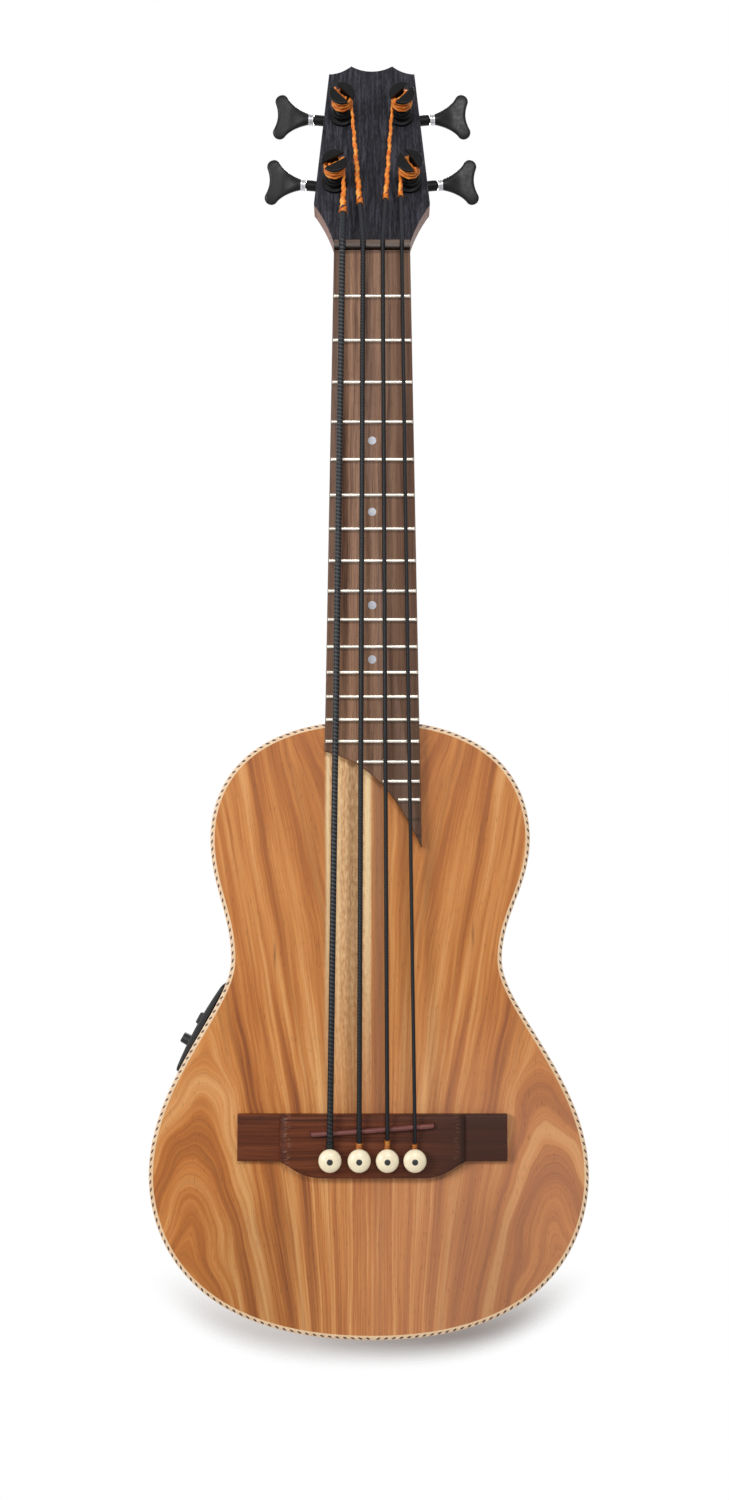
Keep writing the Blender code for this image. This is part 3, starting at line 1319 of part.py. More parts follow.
def make_jack(sides, tail_block, parts, cutters, mats):
    """Barrel socket through the tail, open below."""
    y = TOP_Y + BODY_DEPTH / 2
    flange = JACK_FLANGE_RADIUS
    barrel = JACK_BARREL_RADIUS
    bore = JACK_BORE_RADIUS
    low = -GAP - JACK_FLANGE_THICKNESS
    profile = [(0.0, JACK_BARREL_LENGTH), (barrel, JACK_BARREL_LENGTH), (barrel, -GAP),
               (flange, -GAP), (flange, low + EDGE_BREAK), (flange - EDGE_BREAK, low),
               (bore + EDGE_BREAK, low), (bore, low + EDGE_BREAK), (bore, low + JACK_BORE_DEPTH),
               (0.0, low + JACK_BORE_DEPTH)]
    jack = turned("output_jack", profile, parts, 20)
    finish(jack, mats["chrome"], None, Matrix.Translation((0.0, y, -BODY_END)))
    hole = cylinder("jack_hole", barrel + GAP, (0, y, -BODY_END - OVERCUT),
                    (0, y, -BODY_END + TAIL_BLOCK_LENGTH + OVERCUT), cutters, None, 20)
    cut(sides, hole)
    cut(tail_block, hole)


def build():
    clear_scene()
    parts = new_collection("bass_ukulele")
    cutters = new_collection("cutters")
    mats = make_materials()
    make_plates(parts, mats)
    sides = make_sides(parts, mats)
    tail_block = make_blocks(parts, mats)
    make_top_bracing(parts, cutters, mats)
    make_back_bracing(parts, cutters, mats)
    head = head_frame(parts)
    make_neck(parts, cutters, mats, head)
    make_fretboard(parts, cutters, mats)
    make_nut(parts, cutters, mats)
    make_bridge(parts, cutters, mats)
    make_saddle(parts, mats)
    make_pins(parts, mats)
    frames = machine_frames(parts, head)
    for (name, (frame, side)), slot_angle in zip(frames.items(), CAP_SLOT_ANGLES):
        make_housing(name, frame, side, parts, cutters, mats)
        make_bushing(name, frame, parts, mats)
        make_post(name, frame, slot_angle, parts, cutters, mats)
        make_key(name, frame, side, parts, cutters, mats)
    order = ("bass_lower", "bass_upper", "treble_upper", "treble_lower")
    for index, name in enumerate(order):
        make_string(index, *frames[name], parts, mats)
    panel = preamp_frame(parts)
    make_preamp(panel, sides, parts, cutters, mats)
    make_jack(sides, tail_block, parts, cutters, mats)


build()
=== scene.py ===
"""Looks of the bass ukulele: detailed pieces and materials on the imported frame.

Meshes are built in the row frame (metres, +Z up the neck, strings facing -Y)
and their objects stay at the origin, so texture coordinates are real lengths.
"""
import math

import bmesh
import bpy
import numpy as np
from mathutils import Matrix, Vector


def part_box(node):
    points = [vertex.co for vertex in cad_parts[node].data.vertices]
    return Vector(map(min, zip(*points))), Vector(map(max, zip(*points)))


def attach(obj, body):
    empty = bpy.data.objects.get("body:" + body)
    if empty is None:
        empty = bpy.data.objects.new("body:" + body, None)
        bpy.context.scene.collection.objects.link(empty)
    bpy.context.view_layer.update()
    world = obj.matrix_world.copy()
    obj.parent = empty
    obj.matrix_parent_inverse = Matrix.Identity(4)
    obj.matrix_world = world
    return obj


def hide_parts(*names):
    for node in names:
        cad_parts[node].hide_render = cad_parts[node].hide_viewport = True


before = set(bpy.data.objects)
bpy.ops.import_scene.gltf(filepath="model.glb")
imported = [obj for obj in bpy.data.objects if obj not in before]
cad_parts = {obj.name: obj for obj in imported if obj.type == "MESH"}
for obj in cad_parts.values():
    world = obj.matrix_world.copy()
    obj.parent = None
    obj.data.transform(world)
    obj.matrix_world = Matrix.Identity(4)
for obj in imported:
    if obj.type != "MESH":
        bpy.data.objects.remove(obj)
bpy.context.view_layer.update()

ROOT = "instrument"
FRONT = (0.0, -1.0, 0.0)

# Sizes shared with the frame: neck and strings
GAP = 0.0003
SCALE_LENGTH = 0.520
FACE_Y = -0.011
FRETBOARD_THICKNESS = 0.0065
BOARD_NUT_WIDTH = 0.0466
BOARD_WIDTH_AT_12 = 0.0552
BOARD_BASS_END = 0.3070
BOARD_TIP = 0.3645
FRET_COUNT = 18
FRET_CROWN_WIDTH = 0.0022
FRET_CROWN_HEIGHT = 0.0010
NUT_LENGTH = 0.0054
NUT_RISE = 0.0030
SADDLE_AT = 0.5293
SADDLE_SLANT = math.radians(4.0)
STRING_DIAMETERS = (0.0037, 0.0030, 0.0025, 0.0022)
STRING_SPAN_NUT = 0.0362
STRING_SPAN_SADDLE = 0.0493
STRING_RISE_NUT = 0.0016
STRING_RISE_SADDLE = 0.0057
STRING_ANCHOR_DEPTH = 0.0045
SILK_DIAMETER = 0.0024
NECK_WOOD_AT_NUT = 0.0142
NECK_WOOD_AT_HEEL = 0.0175
HEEL_START = 0.238
HEEL_DEPTH = 0.060

# Sizes shared with the frame: headstock and tuning machines
HEAD_TILT = math.radians(12.0)
HEAD_FACE_DROP = 0.0048
HEAD_START = 0.006
HEAD_THICKNESS = 0.014
VENEER_THICKNESS = 0.0015
HEAD_LENGTH = 0.129
HEAD_CORNER_DROP = 0.0061
HEAD_DIP = 0.0039
HEAD_PEAK_HALF = 0.0130
HEAD_TOP_HALF = 0.0271
HEAD_WIDE_HALF = 0.0360
HEAD_WIDE_AT = 0.0276
HEAD_CORNER_REACH = 0.0016
HEAD_SHOULDER_REACH = 0.0088
MACHINES = {                    # side, height up the face, distance from the centre line
    "bass_lower": (-1, 0.0428, 0.0230),
    "treble_lower": (1, 0.0428, 0.0230),
    "bass_upper": (-1, 0.0914, 0.0185),
    "treble_upper": (1, 0.0914, 0.0185),
}
SLOT_ANGLES = {"bass_lower": 36.0, "treble_lower": -64.0, "bass_upper": -43.0,
               "treble_upper": 41.0}
STRING_ORDER = ("bass_lower", "bass_upper", "treble_upper", "treble_lower")
MACHINE_TURN = math.radians(5.6)
SHAFT_DEPTH = 0.0186
WORM_OFFSET = 0.0094
WHEEL_TIP = 0.006552
HOUSING_TIP = 0.013852
HOUSING_WALL = 0.0013
HOUSING_CORNER = 0.0050
HOUSING_FLOOR = -0.024352
POST_HEIGHT = 0.0232
POST_RADIUS = 0.0032
SPOOL_RADIUS = 0.0042
CAP_RADIUS = 0.0080
CAP_THICKNESS = 0.0018
CAP_SLOT_WIDTH = 0.0038
CAP_SLOT_DEPTH = 0.0052
WASHER_RADIUS = 0.0079
WASHER_THICKNESS = 0.0020
BUSHING_RADIUS = 0.0064
BUSHING_HEIGHT = 0.0066
BARREL_RADIUS = 0.0047
SLEEVE_RADIUS = 0.0033
SLEEVE_END = 0.0193
RING_RADIUS = 0.0036
RING_LENGTH = 0.0033
SHAFT_RADIUS = 0.0017
KEY_LENGTH = 0.0223
KEY_HALF_HEIGHT = 0.0139
KEY_LOBE_RADIUS = 0.0043
KEY_HOLLOW = 0.0023
KEY_SEAT = 0.0005
KEY_REST_TILT = math.radians(22.0)
WINDING_TURNS = 3
TURN_GAP = 0.0005

# Sizes shared with the frame: body, bridge and preamp
TOP_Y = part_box("top_plate")[0].y
BACK_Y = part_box("back_plate")[1].y
BODY_DEPTH = BACK_Y - TOP_Y
PLATE_THICKNESS = 0.0025
SIDE_THICKNESS = 0.0022
BINDING_WIDTH = 0.0020
BINDING_DEPTH = 0.0040
BODY_TOP = 0.2880
UPPER_BOUT_AT = 0.3584
WAIST_AT = 0.4312
LOWER_BOUT_AT = 0.5565
BODY_END = 0.6512
BASS_HALF_WIDTHS = (0.0966, 0.0838, 0.1314)
TREBLE_HALF_WIDTHS = (0.0941, 0.0769, 0.1272)
FULLNESS = (0.915, 0.274, 0.399, 0.375, 0.224, 0.441, 0.221, 0.932)
OUTLINE_STEPS = 36
BRIDGE_FACE_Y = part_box("bridge")[0].y
BRIDGE_TOP_OFFSET = 0.0086
BRIDGE_LENGTH = 0.1580
BRIDGE_WIDTH = 0.0270
BELLY_DROP = 0.0094
BELLY_HALF = 0.0290
BELLY_FOOT_HALF = 0.0570
BRIDGE_HEIGHT = 0.0082
WING_HEIGHT = 0.0052
WING_START = 0.0545
SCOOP_START = 0.0485
SADDLE_LENGTH = 0.0725
SADDLE_WIDTH = 0.0029
SADDLE_SEAT = 0.0045
PIN_OFFSET = 0.0167
PIN_HEAD_RADIUS = 0.0067
PIN_HEAD_HEIGHT = 0.0042
PIN_SHANK_RADIUS = 0.0026
PREAMP_AT = 0.4730
PANEL_LENGTH = 0.0590
PANEL_WIDTH = 0.0380
PANEL_THICKNESS = 0.0034
PANEL_CROWN = 0.0018
PANEL_STAND_OFF = 0.0010
PANEL_BEVEL = 0.0010
PANEL_CORNER = 0.0040
BOX_LENGTH = 0.0470
BOX_WIDTH = 0.0290
BOX_DEPTH = 0.0200
BOX_WALL = 0.0016
KNOB_OFFSET = 0.0120
KNOB_RADIUS = 0.0034
KNOB_HEIGHT = 0.0050
BUTTON_OFFSET = -0.0030
BUTTON_LENGTH = 0.0074
BUTTON_WIDTH = 0.0048
BUTTON_PROUD = 0.0025
JACK_FLANGE_RADIUS = 0.0095
JACK_FLANGE_THICKNESS = 0.0026
JACK_BARREL_RADIUS = 0.0060
JACK_BARREL_LENGTH = 0.0340
JACK_BORE_RADIUS = 0.0033
JACK_BORE_DEPTH = 0.0290

# Looks
PIN_LEAN = 0.14
DOT_FRETS = (4.5, 6.5, 9.5, 11.5)
DOT_RADIUS = 0.0025
SILK_ENDS = (0.0231, 0.0294, 0.0328, 0.0338)    # where the silk starts, above the nut
COIL_THREAD = 0.0016                            # its thickness where it is wound tight
ROPE_PITCH = 0.0045
ROPE_WIDTH = 0.0026
ROPE_MIDDLE = 0.0016           # of its strands, from its inner edge
ROPE_SLANT = 19.0
STRAND_HALF_LENGTH = 0.00135
STRAND_HALF_WIDTH = 0.00052


# Materials: a thin layer over shader nodes

class Paint:
    """A node material under construction."""

    def __init__(self, name, material=None):
        self.material = material or bpy.data.materials.new(name)
        self.material.use_nodes = True
        self.tree = self.material.node_tree
        self.shader = self.tree.nodes["Principled BSDF"]

    @classmethod
    def over(cls, material):
        """Go on with a finished material."""
        return cls(material.name, material)

    @classmethod
    def on(cls, tree):
        """Work on another tree of nodes, such as the world's."""
        made = cls.__new__(cls)
        made.tree = tree
        return made

    def repaint(self, share, colour):
        """Mix a colour into the finished one."""
        socket = self.shader.inputs["Base Color"]
        self.feed(socket, self.mix(share, socket.links[0].from_socket, colour))
        return self.material

    def node(self, kind, settings=None, **inputs):
        made = self.tree.nodes.new(kind)
        for key, value in (settings or {}).items():
            setattr(made, key, value)
        for key, value in inputs.items():
            self.feed(made.inputs[key.replace("_", " ")], value)
        return made

    def feed(self, socket, value):
        if isinstance(value, bpy.types.NodeSocket):
            self.tree.links.new(value, socket)
        else:
            socket.default_value = value

    def math(self, operation, *values, clamp=False):
        made = self.tree.nodes.new("ShaderNodeMath")
        made.operation = operation
        made.use_clamp = clamp
        for socket, value in zip(made.inputs, values):
            self.feed(socket, value)
        return made.outputs[0]

    def sum(self, *values):
        total = values[0]
        for value in values[1:]:
            total = self.math("ADD", total, value)
        return total

    def product(self, *values):
        total = values[0]
        for value in values[1:]:
            total = self.math("MULTIPLY", total, value)
        return total

    def place(self):
        """Object coordinates as (x, y, z) sockets, in metres."""
        coordinates = self.node("ShaderNodeTexCoord")
        split = self.node("ShaderNodeSeparateXYZ", Vector=coordinates.outputs["Object"])
        return split.outputs[0], split.outputs[1], split.outputs[2]

    def run(self):
        """The two texture coordinates of a tube or strip: across or round, and along."""
        coordinates = self.node("ShaderNodeTexCoord")
        split = self.node("ShaderNodeSeparateXYZ", Vector=coordinates.outputs["UV"])
        return split.outputs[0], split.outputs[1]

    def vector(self, x, y, z):
        return self.node("ShaderNodeCombineXYZ", X=x, Y=y, Z=z).outputs[0]

    def noise(self, x, y, z, detail=3.0, roughness=0.5, distortion=0.0):
        """Noise of three scaled coordinates, about 0.5 on average."""
        made = self.node("ShaderNodeTexNoise", Vector=self.vector(x, y, z), Scale=1.0,
                         Detail=detail, Roughness=roughness, Distortion=distortion)
        return made.outputs[0]

    def ramp(self, value, *stops):
        """Colour by position: stops are (position, colour)."""
        made = self.node("ShaderNodeValToRGB", Fac=value)
        elements = made.color_ramp.elements
        while len(elements) < len(stops):
            elements.new(0.5)
        for element, (position, colour) in zip(elements, stops):
            element.position = position
            element.color = (*colour, 1.0)
        return made.outputs[0]

    def level(self, value, low, high, to_low=0.0, to_high=1.0):
        """Smooth step of a value between two bounds."""
        made = self.node("ShaderNodeMapRange", {"interpolation_type": "SMOOTHSTEP"})
        for key, setting in zip(("Value", "From Min", "From Max", "To Min", "To Max"),
                                (value, low, high, to_low, to_high)):
            self.feed(made.inputs[key], setting)
        return made.outputs[0]

    def bell(self, value, middle, width):
        """One at the middle, falling to nothing about two widths away."""
        offset = self.math("DIVIDE", self.math("SUBTRACT", value, middle), width)
        return self.math("EXPONENT", self.product(offset, offset, -1.0))

    def mix(self, share, first, second, blend="MIX"):
        made = self.tree.nodes.new("ShaderNodeMix")
        made.data_type = "RGBA"
        made.blend_type = blend
        self.feed(made.inputs[0], share)
        for socket, value in zip(made.inputs[6:8], (first, second)):
            if isinstance(value, tuple) and len(value) == 3:
                value = (*value, 1.0)
            self.feed(socket, value)
        return made.outputs[2]

    def shade(self, colour, factor):
        """Multiply a colour by a grey factor."""
        grey = self.node("ShaderNodeCombineColor", Red=factor, Green=factor, Blue=factor)
        return self.mix(1.0, colour, grey.outputs[0], "MULTIPLY")

    def seen(self):
        """1 for rays that look: straight, by reflection or through glass."""
        rays = self.node("ShaderNodeLightPath").outputs
        return self.math("MAXIMUM", rays["Is Camera Ray"], self.math(
            "MAXIMUM", rays["Is Glossy Ray"], rays["Is Transmission Ray"]))

    def finish(self, colour, roughness=0.4, metallic=0.0, bump=None, depth=0.0002, coat=0.0,
               coat_roughness=0.1, specular=0.5):
        shader = self.shader.inputs
        self.feed(shader["Base Color"], colour)
        self.feed(shader["Roughness"], roughness)
        shader["Metallic"].default_value = metallic
        shader["Coat Weight"].default_value = coat
        shader["Coat Roughness"].default_value = coat_roughness
        shader["Specular IOR Level"].default_value = specular
        if bump is not None:
            made = self.node("ShaderNodeBump", Height=bump, Distance=depth, Strength=1.0)
            self.feed(shader["Normal"], made.outputs[0])
        return self.material


def srgb(red, green, blue):
    """A colour as read from the photograph, 0 to 255, in linear light."""
    def linear(value):
        value /= 255
        return value / 12.92 if value <= 0.04045 else ((value + 0.055) / 1.055) ** 2.4
    return linear(red), linear(green), linear(blue)


# The plates' figure: rings that run straight by the seam and arch in the lower bouts
ARCH_AXIS = 0.098               # distance of the arches' axis from the seam, at ARCH_Z
ARCH_Z = -0.47
ARCH_DRIFT = 0.085              # how fast that axis moves outwards towards the tail
ARCH_RELEASE = 0.035            # how far it moves out above the waist
ARCH_WIDTH = 0.023
GRAIN_LEAN = 0.17
# Bands of the figure: place along the rings, half width, change of tone
UPPER_BANDS = ((-0.0620, 0.0022, -0.07), (-0.0565, 0.0030, 0.05), (-0.0475, 0.0026, 0.07),
               (-0.0412, 0.0024, -0.16), (-0.0305, 0.0018, 0.05), (-0.0205, 0.0026, 0.05))
LOWER_BANDS = ((-0.1040, 0.0030, -0.08), (-0.0690, 0.0034, -0.12), (-0.0305, 0.0024, 0.11),
               (-0.0480, 0.0026, -0.05), (-0.0590, 0.0030, 0.06))
BASS_BANDS = ((-0.0972, 0.0028, 0.13), (-0.0912, 0.0022, -0.12), (-0.0838, 0.0034, 0.09))
TREBLE_BANDS = ((-0.0988, 0.0032, -0.09), (-0.0905, 0.0028, 0.14), (-0.0842, 0.0026, -0.16))


def growth_rings(p, x, z, seed):
    """Distance through the log's rings, the same on both sides of the seam."""
    side = p.math("ABSOLUTE", x)
    below = p.math("SUBTRACT", z, ARCH_Z)
    axis = p.sum(p.math("MULTIPLY_ADD", below, -ARCH_DRIFT, ARCH_AXIS),
                 p.level(z, -0.50, -0.34, 0.0, ARCH_RELEASE))
    across = p.math("SUBTRACT", side, axis)
    arch = p.math("SQRT", p.math("MULTIPLY_ADD", across, across, ARCH_WIDTH ** 2))
    lean = p.product(p.level(side, 0.0, 0.055, 0.0, GRAIN_LEAN), below)
    bout = p.product(p.level(side, 0.055, 0.09), p.level(z, -0.46, -0.52))
    swirl = p.noise(p.product(side, 30.0), seed, p.product(z, 20.0), 1.0)
    swirl = p.product(p.math("SUBTRACT", swirl, 0.5), p.math("MULTIPLY_ADD", bout, 0.012, 0.003))
    ripple = p.noise(p.product(x, 70.0), seed + 3.0, p.product(z, 18.0), 2.0)
    ripple = p.product(p.math("SUBTRACT", ripple, 0.5), 0.0022)
    return p.sum(p.math("SUBTRACT", arch, axis), lean, swirl, ripple)


def bands(p, rings, places, share):
    """Sum of light and dark bands along the rings, weighted by a share."""
    return p.product(share, p.sum(*(p.product(p.bell(rings, at, width), tone)
                                    for at, width, tone in places)))


def figured_wood(p, x, z, seed=0.0):
    """Koa-like wood: its noted bands, and finer ones of several widths."""
    rings = growth_rings(p, x, z, seed)
    broad = p.noise(p.product(rings, 55.0), p.product(z, 1.5), seed, 2.0)
    medium = p.noise(p.product(rings, 170.0), p.product(z, 5.0), seed + 5.0, 2.0)
    narrow = p.noise(p.product(rings, 620.0), p.product(z, 12.0), seed + 9.0, 3.0)
    tone = p.sum(p.product(broad, 0.34), p.product(medium, 0.36), p.product(narrow, 0.30))
    low = p.level(z, -0.42, -0.52)
    high = p.math("SUBTRACT", 1.0, low)
    bass = p.product(low, p.level(x, 0.01, -0.01))
    treble = p.product(low, p.level(x, -0.01, 0.01))
    tone = p.sum(tone, p.product(0.75, p.sum(
        bands(p, rings, UPPER_BANDS, high), bands(p, rings, LOWER_BANDS, low),
        bands(p, rings, BASS_BANDS, bass), bands(p, rings, TREBLE_BANDS, treble))))
    contrast = p.level(z, -0.42, -0.54, 1.1, 1.6)
    tone = p.math("MULTIPLY_ADD", p.math("SUBTRACT", tone, 0.5), contrast, 0.5)
    wood = p.ramp(tone, (0.30, srgb(136, 72, 26)), (0.44, srgb(181, 107, 46)),
                  (0.53, srgb(204, 132, 66)), (0.68, srgb(232, 172, 108)))
    streaks = p.noise(p.product(rings, 420.0), p.product(z, 4.0), seed + 13.0, 2.0)
    wood = p.mix(p.level(streaks, 0.55, 0.70, 0.0, 0.40), wood, srgb(142, 86, 36))
    return wood, rings


def pores(p, x, z, seed=0.0):
    """Short dark pores along the grain, 1 on clear wood and lower in a pore."""
    spots = p.noise(p.product(x, 1500.0), seed, p.product(z, 160.0), 2.0)
    return p.level(spots, 0.60, 0.74, 1.0, 0.62)


def sapwood_share(p, x, z):
    """Where the pale sapwood lies: from the seam out on the bass side, fading to the tail."""
    sway = p.noise(p.product(z, 9.0), 4.0, 0.0, 2.0)
    bent = p.math("MULTIPLY_ADD", sway, 0.003, p.math("SUBTRACT", x, 0.0015))
    across = p.product(p.level(bent, -0.0292, -0.0266), p.level(x, -0.0003, -0.0008))
    return p.product(across, p.level(z, -0.56, -0.40, 0.0, 0.9))


def sapwood(p, x, z):
    """Pale, mottled wood with bright edges and a duller middle."""
    mottle = p.noise(p.product(x, 800.0), p.product(z, 230.0), 2.0, 3.0)
    lines = p.noise(p.product(x, 420.0), p.product(z, 5.0), 8.0, 3.0)
    tone = p.sum(p.product(mottle, 0.55), p.product(lines, 0.45))
    wood = p.ramp(tone, (0.38, srgb(186, 134, 86)), (0.50, srgb(222, 172, 120)),
                  (0.62, srgb(246, 206, 152)))
    glow = p.sum(p.bell(x, -0.0266, 0.0013), p.bell(x, -0.0026, 0.0022),
                 p.product(p.bell(x, -0.0205, 0.0022), 0.5))
    wood = p.mix(p.product(glow, p.level(z, -0.50, -0.34, 0.4, 0.95)), wood,
                 srgb(252, 224, 172))
    dull = p.product(p.bell(x, -0.0135, 0.0020), 0.16)
    return p.shade(wood, p.math("SUBTRACT", 1.0, dull))


def top_wood():
    """Book-matched top with pale sapwood on the bass side of the seam."""
    p = Paint("figured_top")
    x, y, z = p.place()
    wood, rings = figured_wood(p, x, z)
    low = p.level(z, -0.42, -0.56)
    pink = p.product(low, p.level(x, -0.07, 0.06), 0.50)
    wood = p.mix(pink, wood, srgb(208, 144, 106))
    orange = p.product(low, p.level(x, -0.03, -0.12), 0.25)
    wood = p.mix(orange, wood, srgb(186, 108, 40))
    side = p.math("ABSOLUTE", x)
    dusk = p.product(p.bell(side, 0.066, 0.030), p.level(z, -0.54, -0.60), 0.20)
    wood = p.shade(wood, p.math("SUBTRACT", 1.0, dusk))
    wood = p.mix(sapwood_share(p, x, z), wood, sapwood(p, x, z))
    rosy = p.product(p.bell(x, 0.0036, 0.0034), p.level(z, -0.62, -0.42, 0.2, 0.7))
    wood = p.mix(rosy, wood, srgb(172, 116, 82))
    for at_x, at_z in ((-0.0578, -0.428), (0.0598, -0.416)):
        slit = p.product(p.bell(x, at_x, 0.0007), p.bell(z, at_z, 0.0075), 0.55)
        wood = p.mix(slit, wood, srgb(92, 50, 26))
    dark = pores(p, x, z)
    fibre = p.noise(p.product(rings, 3600.0), p.product(z, 30.0), 1.0, 2.0)
    wood = p.shade(p.shade(wood, dark), p.level(fibre, 0.30, 0.70, 0.90, 1.07))
    return p.finish(wood, 0.42, bump=p.sum(dark, p.product(fibre, 0.4)), depth=0.00006,
                    coat=0.10, coat_roughness=0.25, specular=0.30)


def back_wood():
    p = Paint("figured_back")
    x, y, z = p.place()
    wood, rings = figured_wood(p, x, z, 21.0)
    dark = pores(p, x, z, 2.0)
    fibre = p.noise(p.product(rings, 3600.0), p.product(z, 30.0), 3.0, 2.0)
    seam = p.level(p.math("ABSOLUTE", x), 0.0001, 0.0004, 0.7, 1.0)
    wood = p.shade(p.shade(wood, dark), seam)
    return p.finish(wood, 0.42, bump=p.sum(dark, p.product(fibre, 0.4)), depth=0.00006,
                    coat=0.12, coat_roughness=0.25, specular=0.35)


def side_wood():
    """The same wood bent round the rim, with its grain along the rim."""
    p = Paint("figured_side")
    x, y, z = p.place()
    sway = p.noise(p.product(x, 8.0), 3.0, p.product(z, 8.0), 2.0)
    depth = p.math("MULTIPLY_ADD", sway, 0.012, y)
    broad = p.noise(p.product(depth, 90.0), p.product(x, 3.0), p.product(z, 3.0), 3.0)
    narrow = p.noise(p.product(depth, 700.0), p.product(x, 8.0), p.product(z, 8.0), 3.0)
    tone = p.sum(p.product(broad, 0.65), p.product(narrow, 0.35))
    wood = p.ramp(tone, (0.36, srgb(142, 76, 30)), (0.50, srgb(184, 110, 50)),
                  (0.64, srgb(216, 150, 86)))
    spots = p.noise(p.product(y, 1500.0), p.product(x, 160.0), p.product(z, 160.0), 2.0)
    dark = p.level(spots, 0.60, 0.74, 1.0, 0.74)
    return p.finish(p.shade(wood, dark), 0.42, bump=dark, depth=0.00006, coat=0.12,
                    coat_roughness=0.25, specular=0.35)


def dark_wood(name, dark, mid, light, along="Z", rough=0.5, shift=None, specular=0.35,
              fine=1.0):
    """Close-grained wood with dark pores; its grain runs along Z or X."""
    p = Paint(name)
    x, y, z = p.place()
    run, cross = (z, x) if along == "Z" else (x, z)
    sway = p.noise(p.product(run, 20.0), 2.0, 0.0, 2.0)
    bent = p.math("MULTIPLY_ADD", sway, 0.003, cross)
    broad = p.noise(p.product(bent, 230.0 * fine), p.product(y, 230.0), p.product(run, 6.0 / fine),
                    3.0)
    narrow = p.noise(p.product(bent, 1300.0), p.product(y, 1300.0), p.product(run, 30.0 / fine),
                     3.0)
    tone = p.sum(p.product(broad, 0.6), p.product(narrow, 0.4))
    wood = p.ramp(tone, (0.34, dark), (0.50, mid), (0.66, light))
    spots = p.noise(p.product(cross, 2600.0), p.product(y, 2600.0), p.product(run, 190.0), 2.0)
    dots = p.level(spots, 0.58, 0.72, 1.0, 0.62)
    wood = p.shade(wood, dots)
    if shift:
        colour, low, high, share = shift
        wood = p.mix(p.level(x, low, high, 0.0, share), wood, colour)
    return p.finish(wood, p.level(narrow, 0.3, 0.7, rough + 0.06, rough - 0.06), bump=dots,
                    depth=0.00010, specular=specular)


def board_wood():
    """Rosewood, redder and darker to the treble side, with a painted shadow line below each fret.
    """
    wood = dark_wood("fretboard_wood", srgb(90, 60, 44), srgb(142, 104, 80), srgb(172, 132, 104),
                     shift=(srgb(84, 60, 48), -0.018, 0.026, 0.5), specular=0.25)
    p = Paint.over(wood)
    x, y, z = p.place()
    step = p.math("DIVIDE", p.math("LOGARITHM", p.math("MULTIPLY_ADD", z, 1 / SCALE_LENGTH, 1.0),
                                   2.0), -1 / 12)
    past = p.math("FRACT", p.sum(step, 0.5))
    length = p.product(p.math("MULTIPLY_ADD", z, 1.0, SCALE_LENGTH), math.log(2.0) / 12)
    below = p.product(p.math("SUBTRACT", past, 0.5), length)
    # painted shadow: a dark line just below each fret, where the fret's shadow falls
    line = p.product(p.level(below, 0.0002, 0.0009), p.level(below, 0.0030, 0.0018), 0.5)
    p.repaint(line, srgb(40, 26, 20))
    p.repaint(p.product(p.level(x, -0.0180, -0.0205), 0.6), srgb(58, 38, 28))
    return p.repaint(p.product(p.level(x, -0.012, 0.024), p.level(z, -0.17, -0.34), 0.45),
                     srgb(58, 42, 34))


def nut_wood(name, *colours):
    """The nut: brown on its face, with painted shade on the side towards the frets."""
    p = Paint.over(dark_wood(name, *colours))
    x, y, z = p.place()
    # painted shade: the face towards the frets, which faces down away from the light, is painted
    # near black
    return p.repaint(p.level(z, 0.0011, 0.0006), srgb(20, 14, 12))


def bridge_wood():
    """Rosewood with painted shade to the treble side, painted shade down the scoops beside the
    wings, and painted highlight flecks beside them.
    """
    # painted shade: the shift darkens the treble side, away from the key light
    wood = dark_wood("bridge_wood", srgb(60, 26, 12), srgb(97, 48, 26), srgb(122, 66, 40), "X",
                     0.45, (srgb(58, 36, 30), -0.02, 0.06, 0.85), 0.15)
    p = Paint.over(wood)
    x, y, z = p.place()
    scoop_mottle = p.noise(p.product(x, 260.0), 5.0, p.product(z, 900.0), 2.0)
    ragged = p.math("MULTIPLY_ADD", scoop_mottle, 0.0016, x)
    # painted shade: ragged dark bands down the concave scoops on both sides of the middle block
    p.repaint(p.product(p.bell(ragged, 0.0535, 0.0016), 0.7), srgb(40, 24, 22))
    p.repaint(p.product(p.bell(x, -0.0525, 0.0012), 0.45), srgb(52, 32, 30))
    # painted highlight: pale flecks along the scoops, where they catch the light
    scoop_highlight = p.level(scoop_mottle, 0.50, 0.66)
    p.repaint(p.product(p.bell(x, -0.0500, 0.0018), scoop_highlight, 0.75), srgb(138, 104, 90))
    return p.repaint(p.product(p.bell(x, 0.0495, 0.0018), scoop_highlight, 0.55), srgb(106, 76, 58))


def plain(name, colour, roughness, metallic=0.0, mottle_size=400.0, contrast=0.16,
          relief=0.00001, **more):
    """A finish with slight mottling and fine relief, for hardware and plastics."""
    p = Paint(name)
    x, y, z = p.place()
    mottle = p.noise(*(p.product(axis, mottle_size) for axis in (x, y, z)))
    fine = p.noise(*(p.product(axis, 4500.0) for axis in (x, y, z)), 2.0)
    dim = tuple((1 - contrast) * c for c in colour)
    bright = tuple(min(1.0, (1 + contrast) * c) for c in colour)
    tone = p.ramp(mottle, (0.35, dim), (0.65, bright))
    rough = p.level(mottle, 0.3, 0.7, roughness - 0.05, roughness + 0.05)
    return p.finish(tone, rough, metallic, bump=fine, depth=relief, **more)


def brushed(name, colour, roughness):
    """Satin metal with fine scratches round its axis and worn, lighter spots."""
    p = Paint(name)
    x, y, z = p.place()
    lines = p.noise(p.product(x, 120.0), p.product(y, 5200.0), p.product(z, 5200.0), 2.0)
    wear = p.noise(*(p.product(axis, 120.0) for axis in (x, y, z)), 2.0)
    tone = p.ramp(wear, (0.40, tuple(0.88 * c for c in colour)),
                  (0.62, tuple(min(1.0, 1.12 * c) for c in colour)))
    return p.finish(tone, p.level(wear, 0.3, 0.7, roughness + 0.03, roughness - 0.03), 1.0,
                    bump=lines, depth=0.000002)


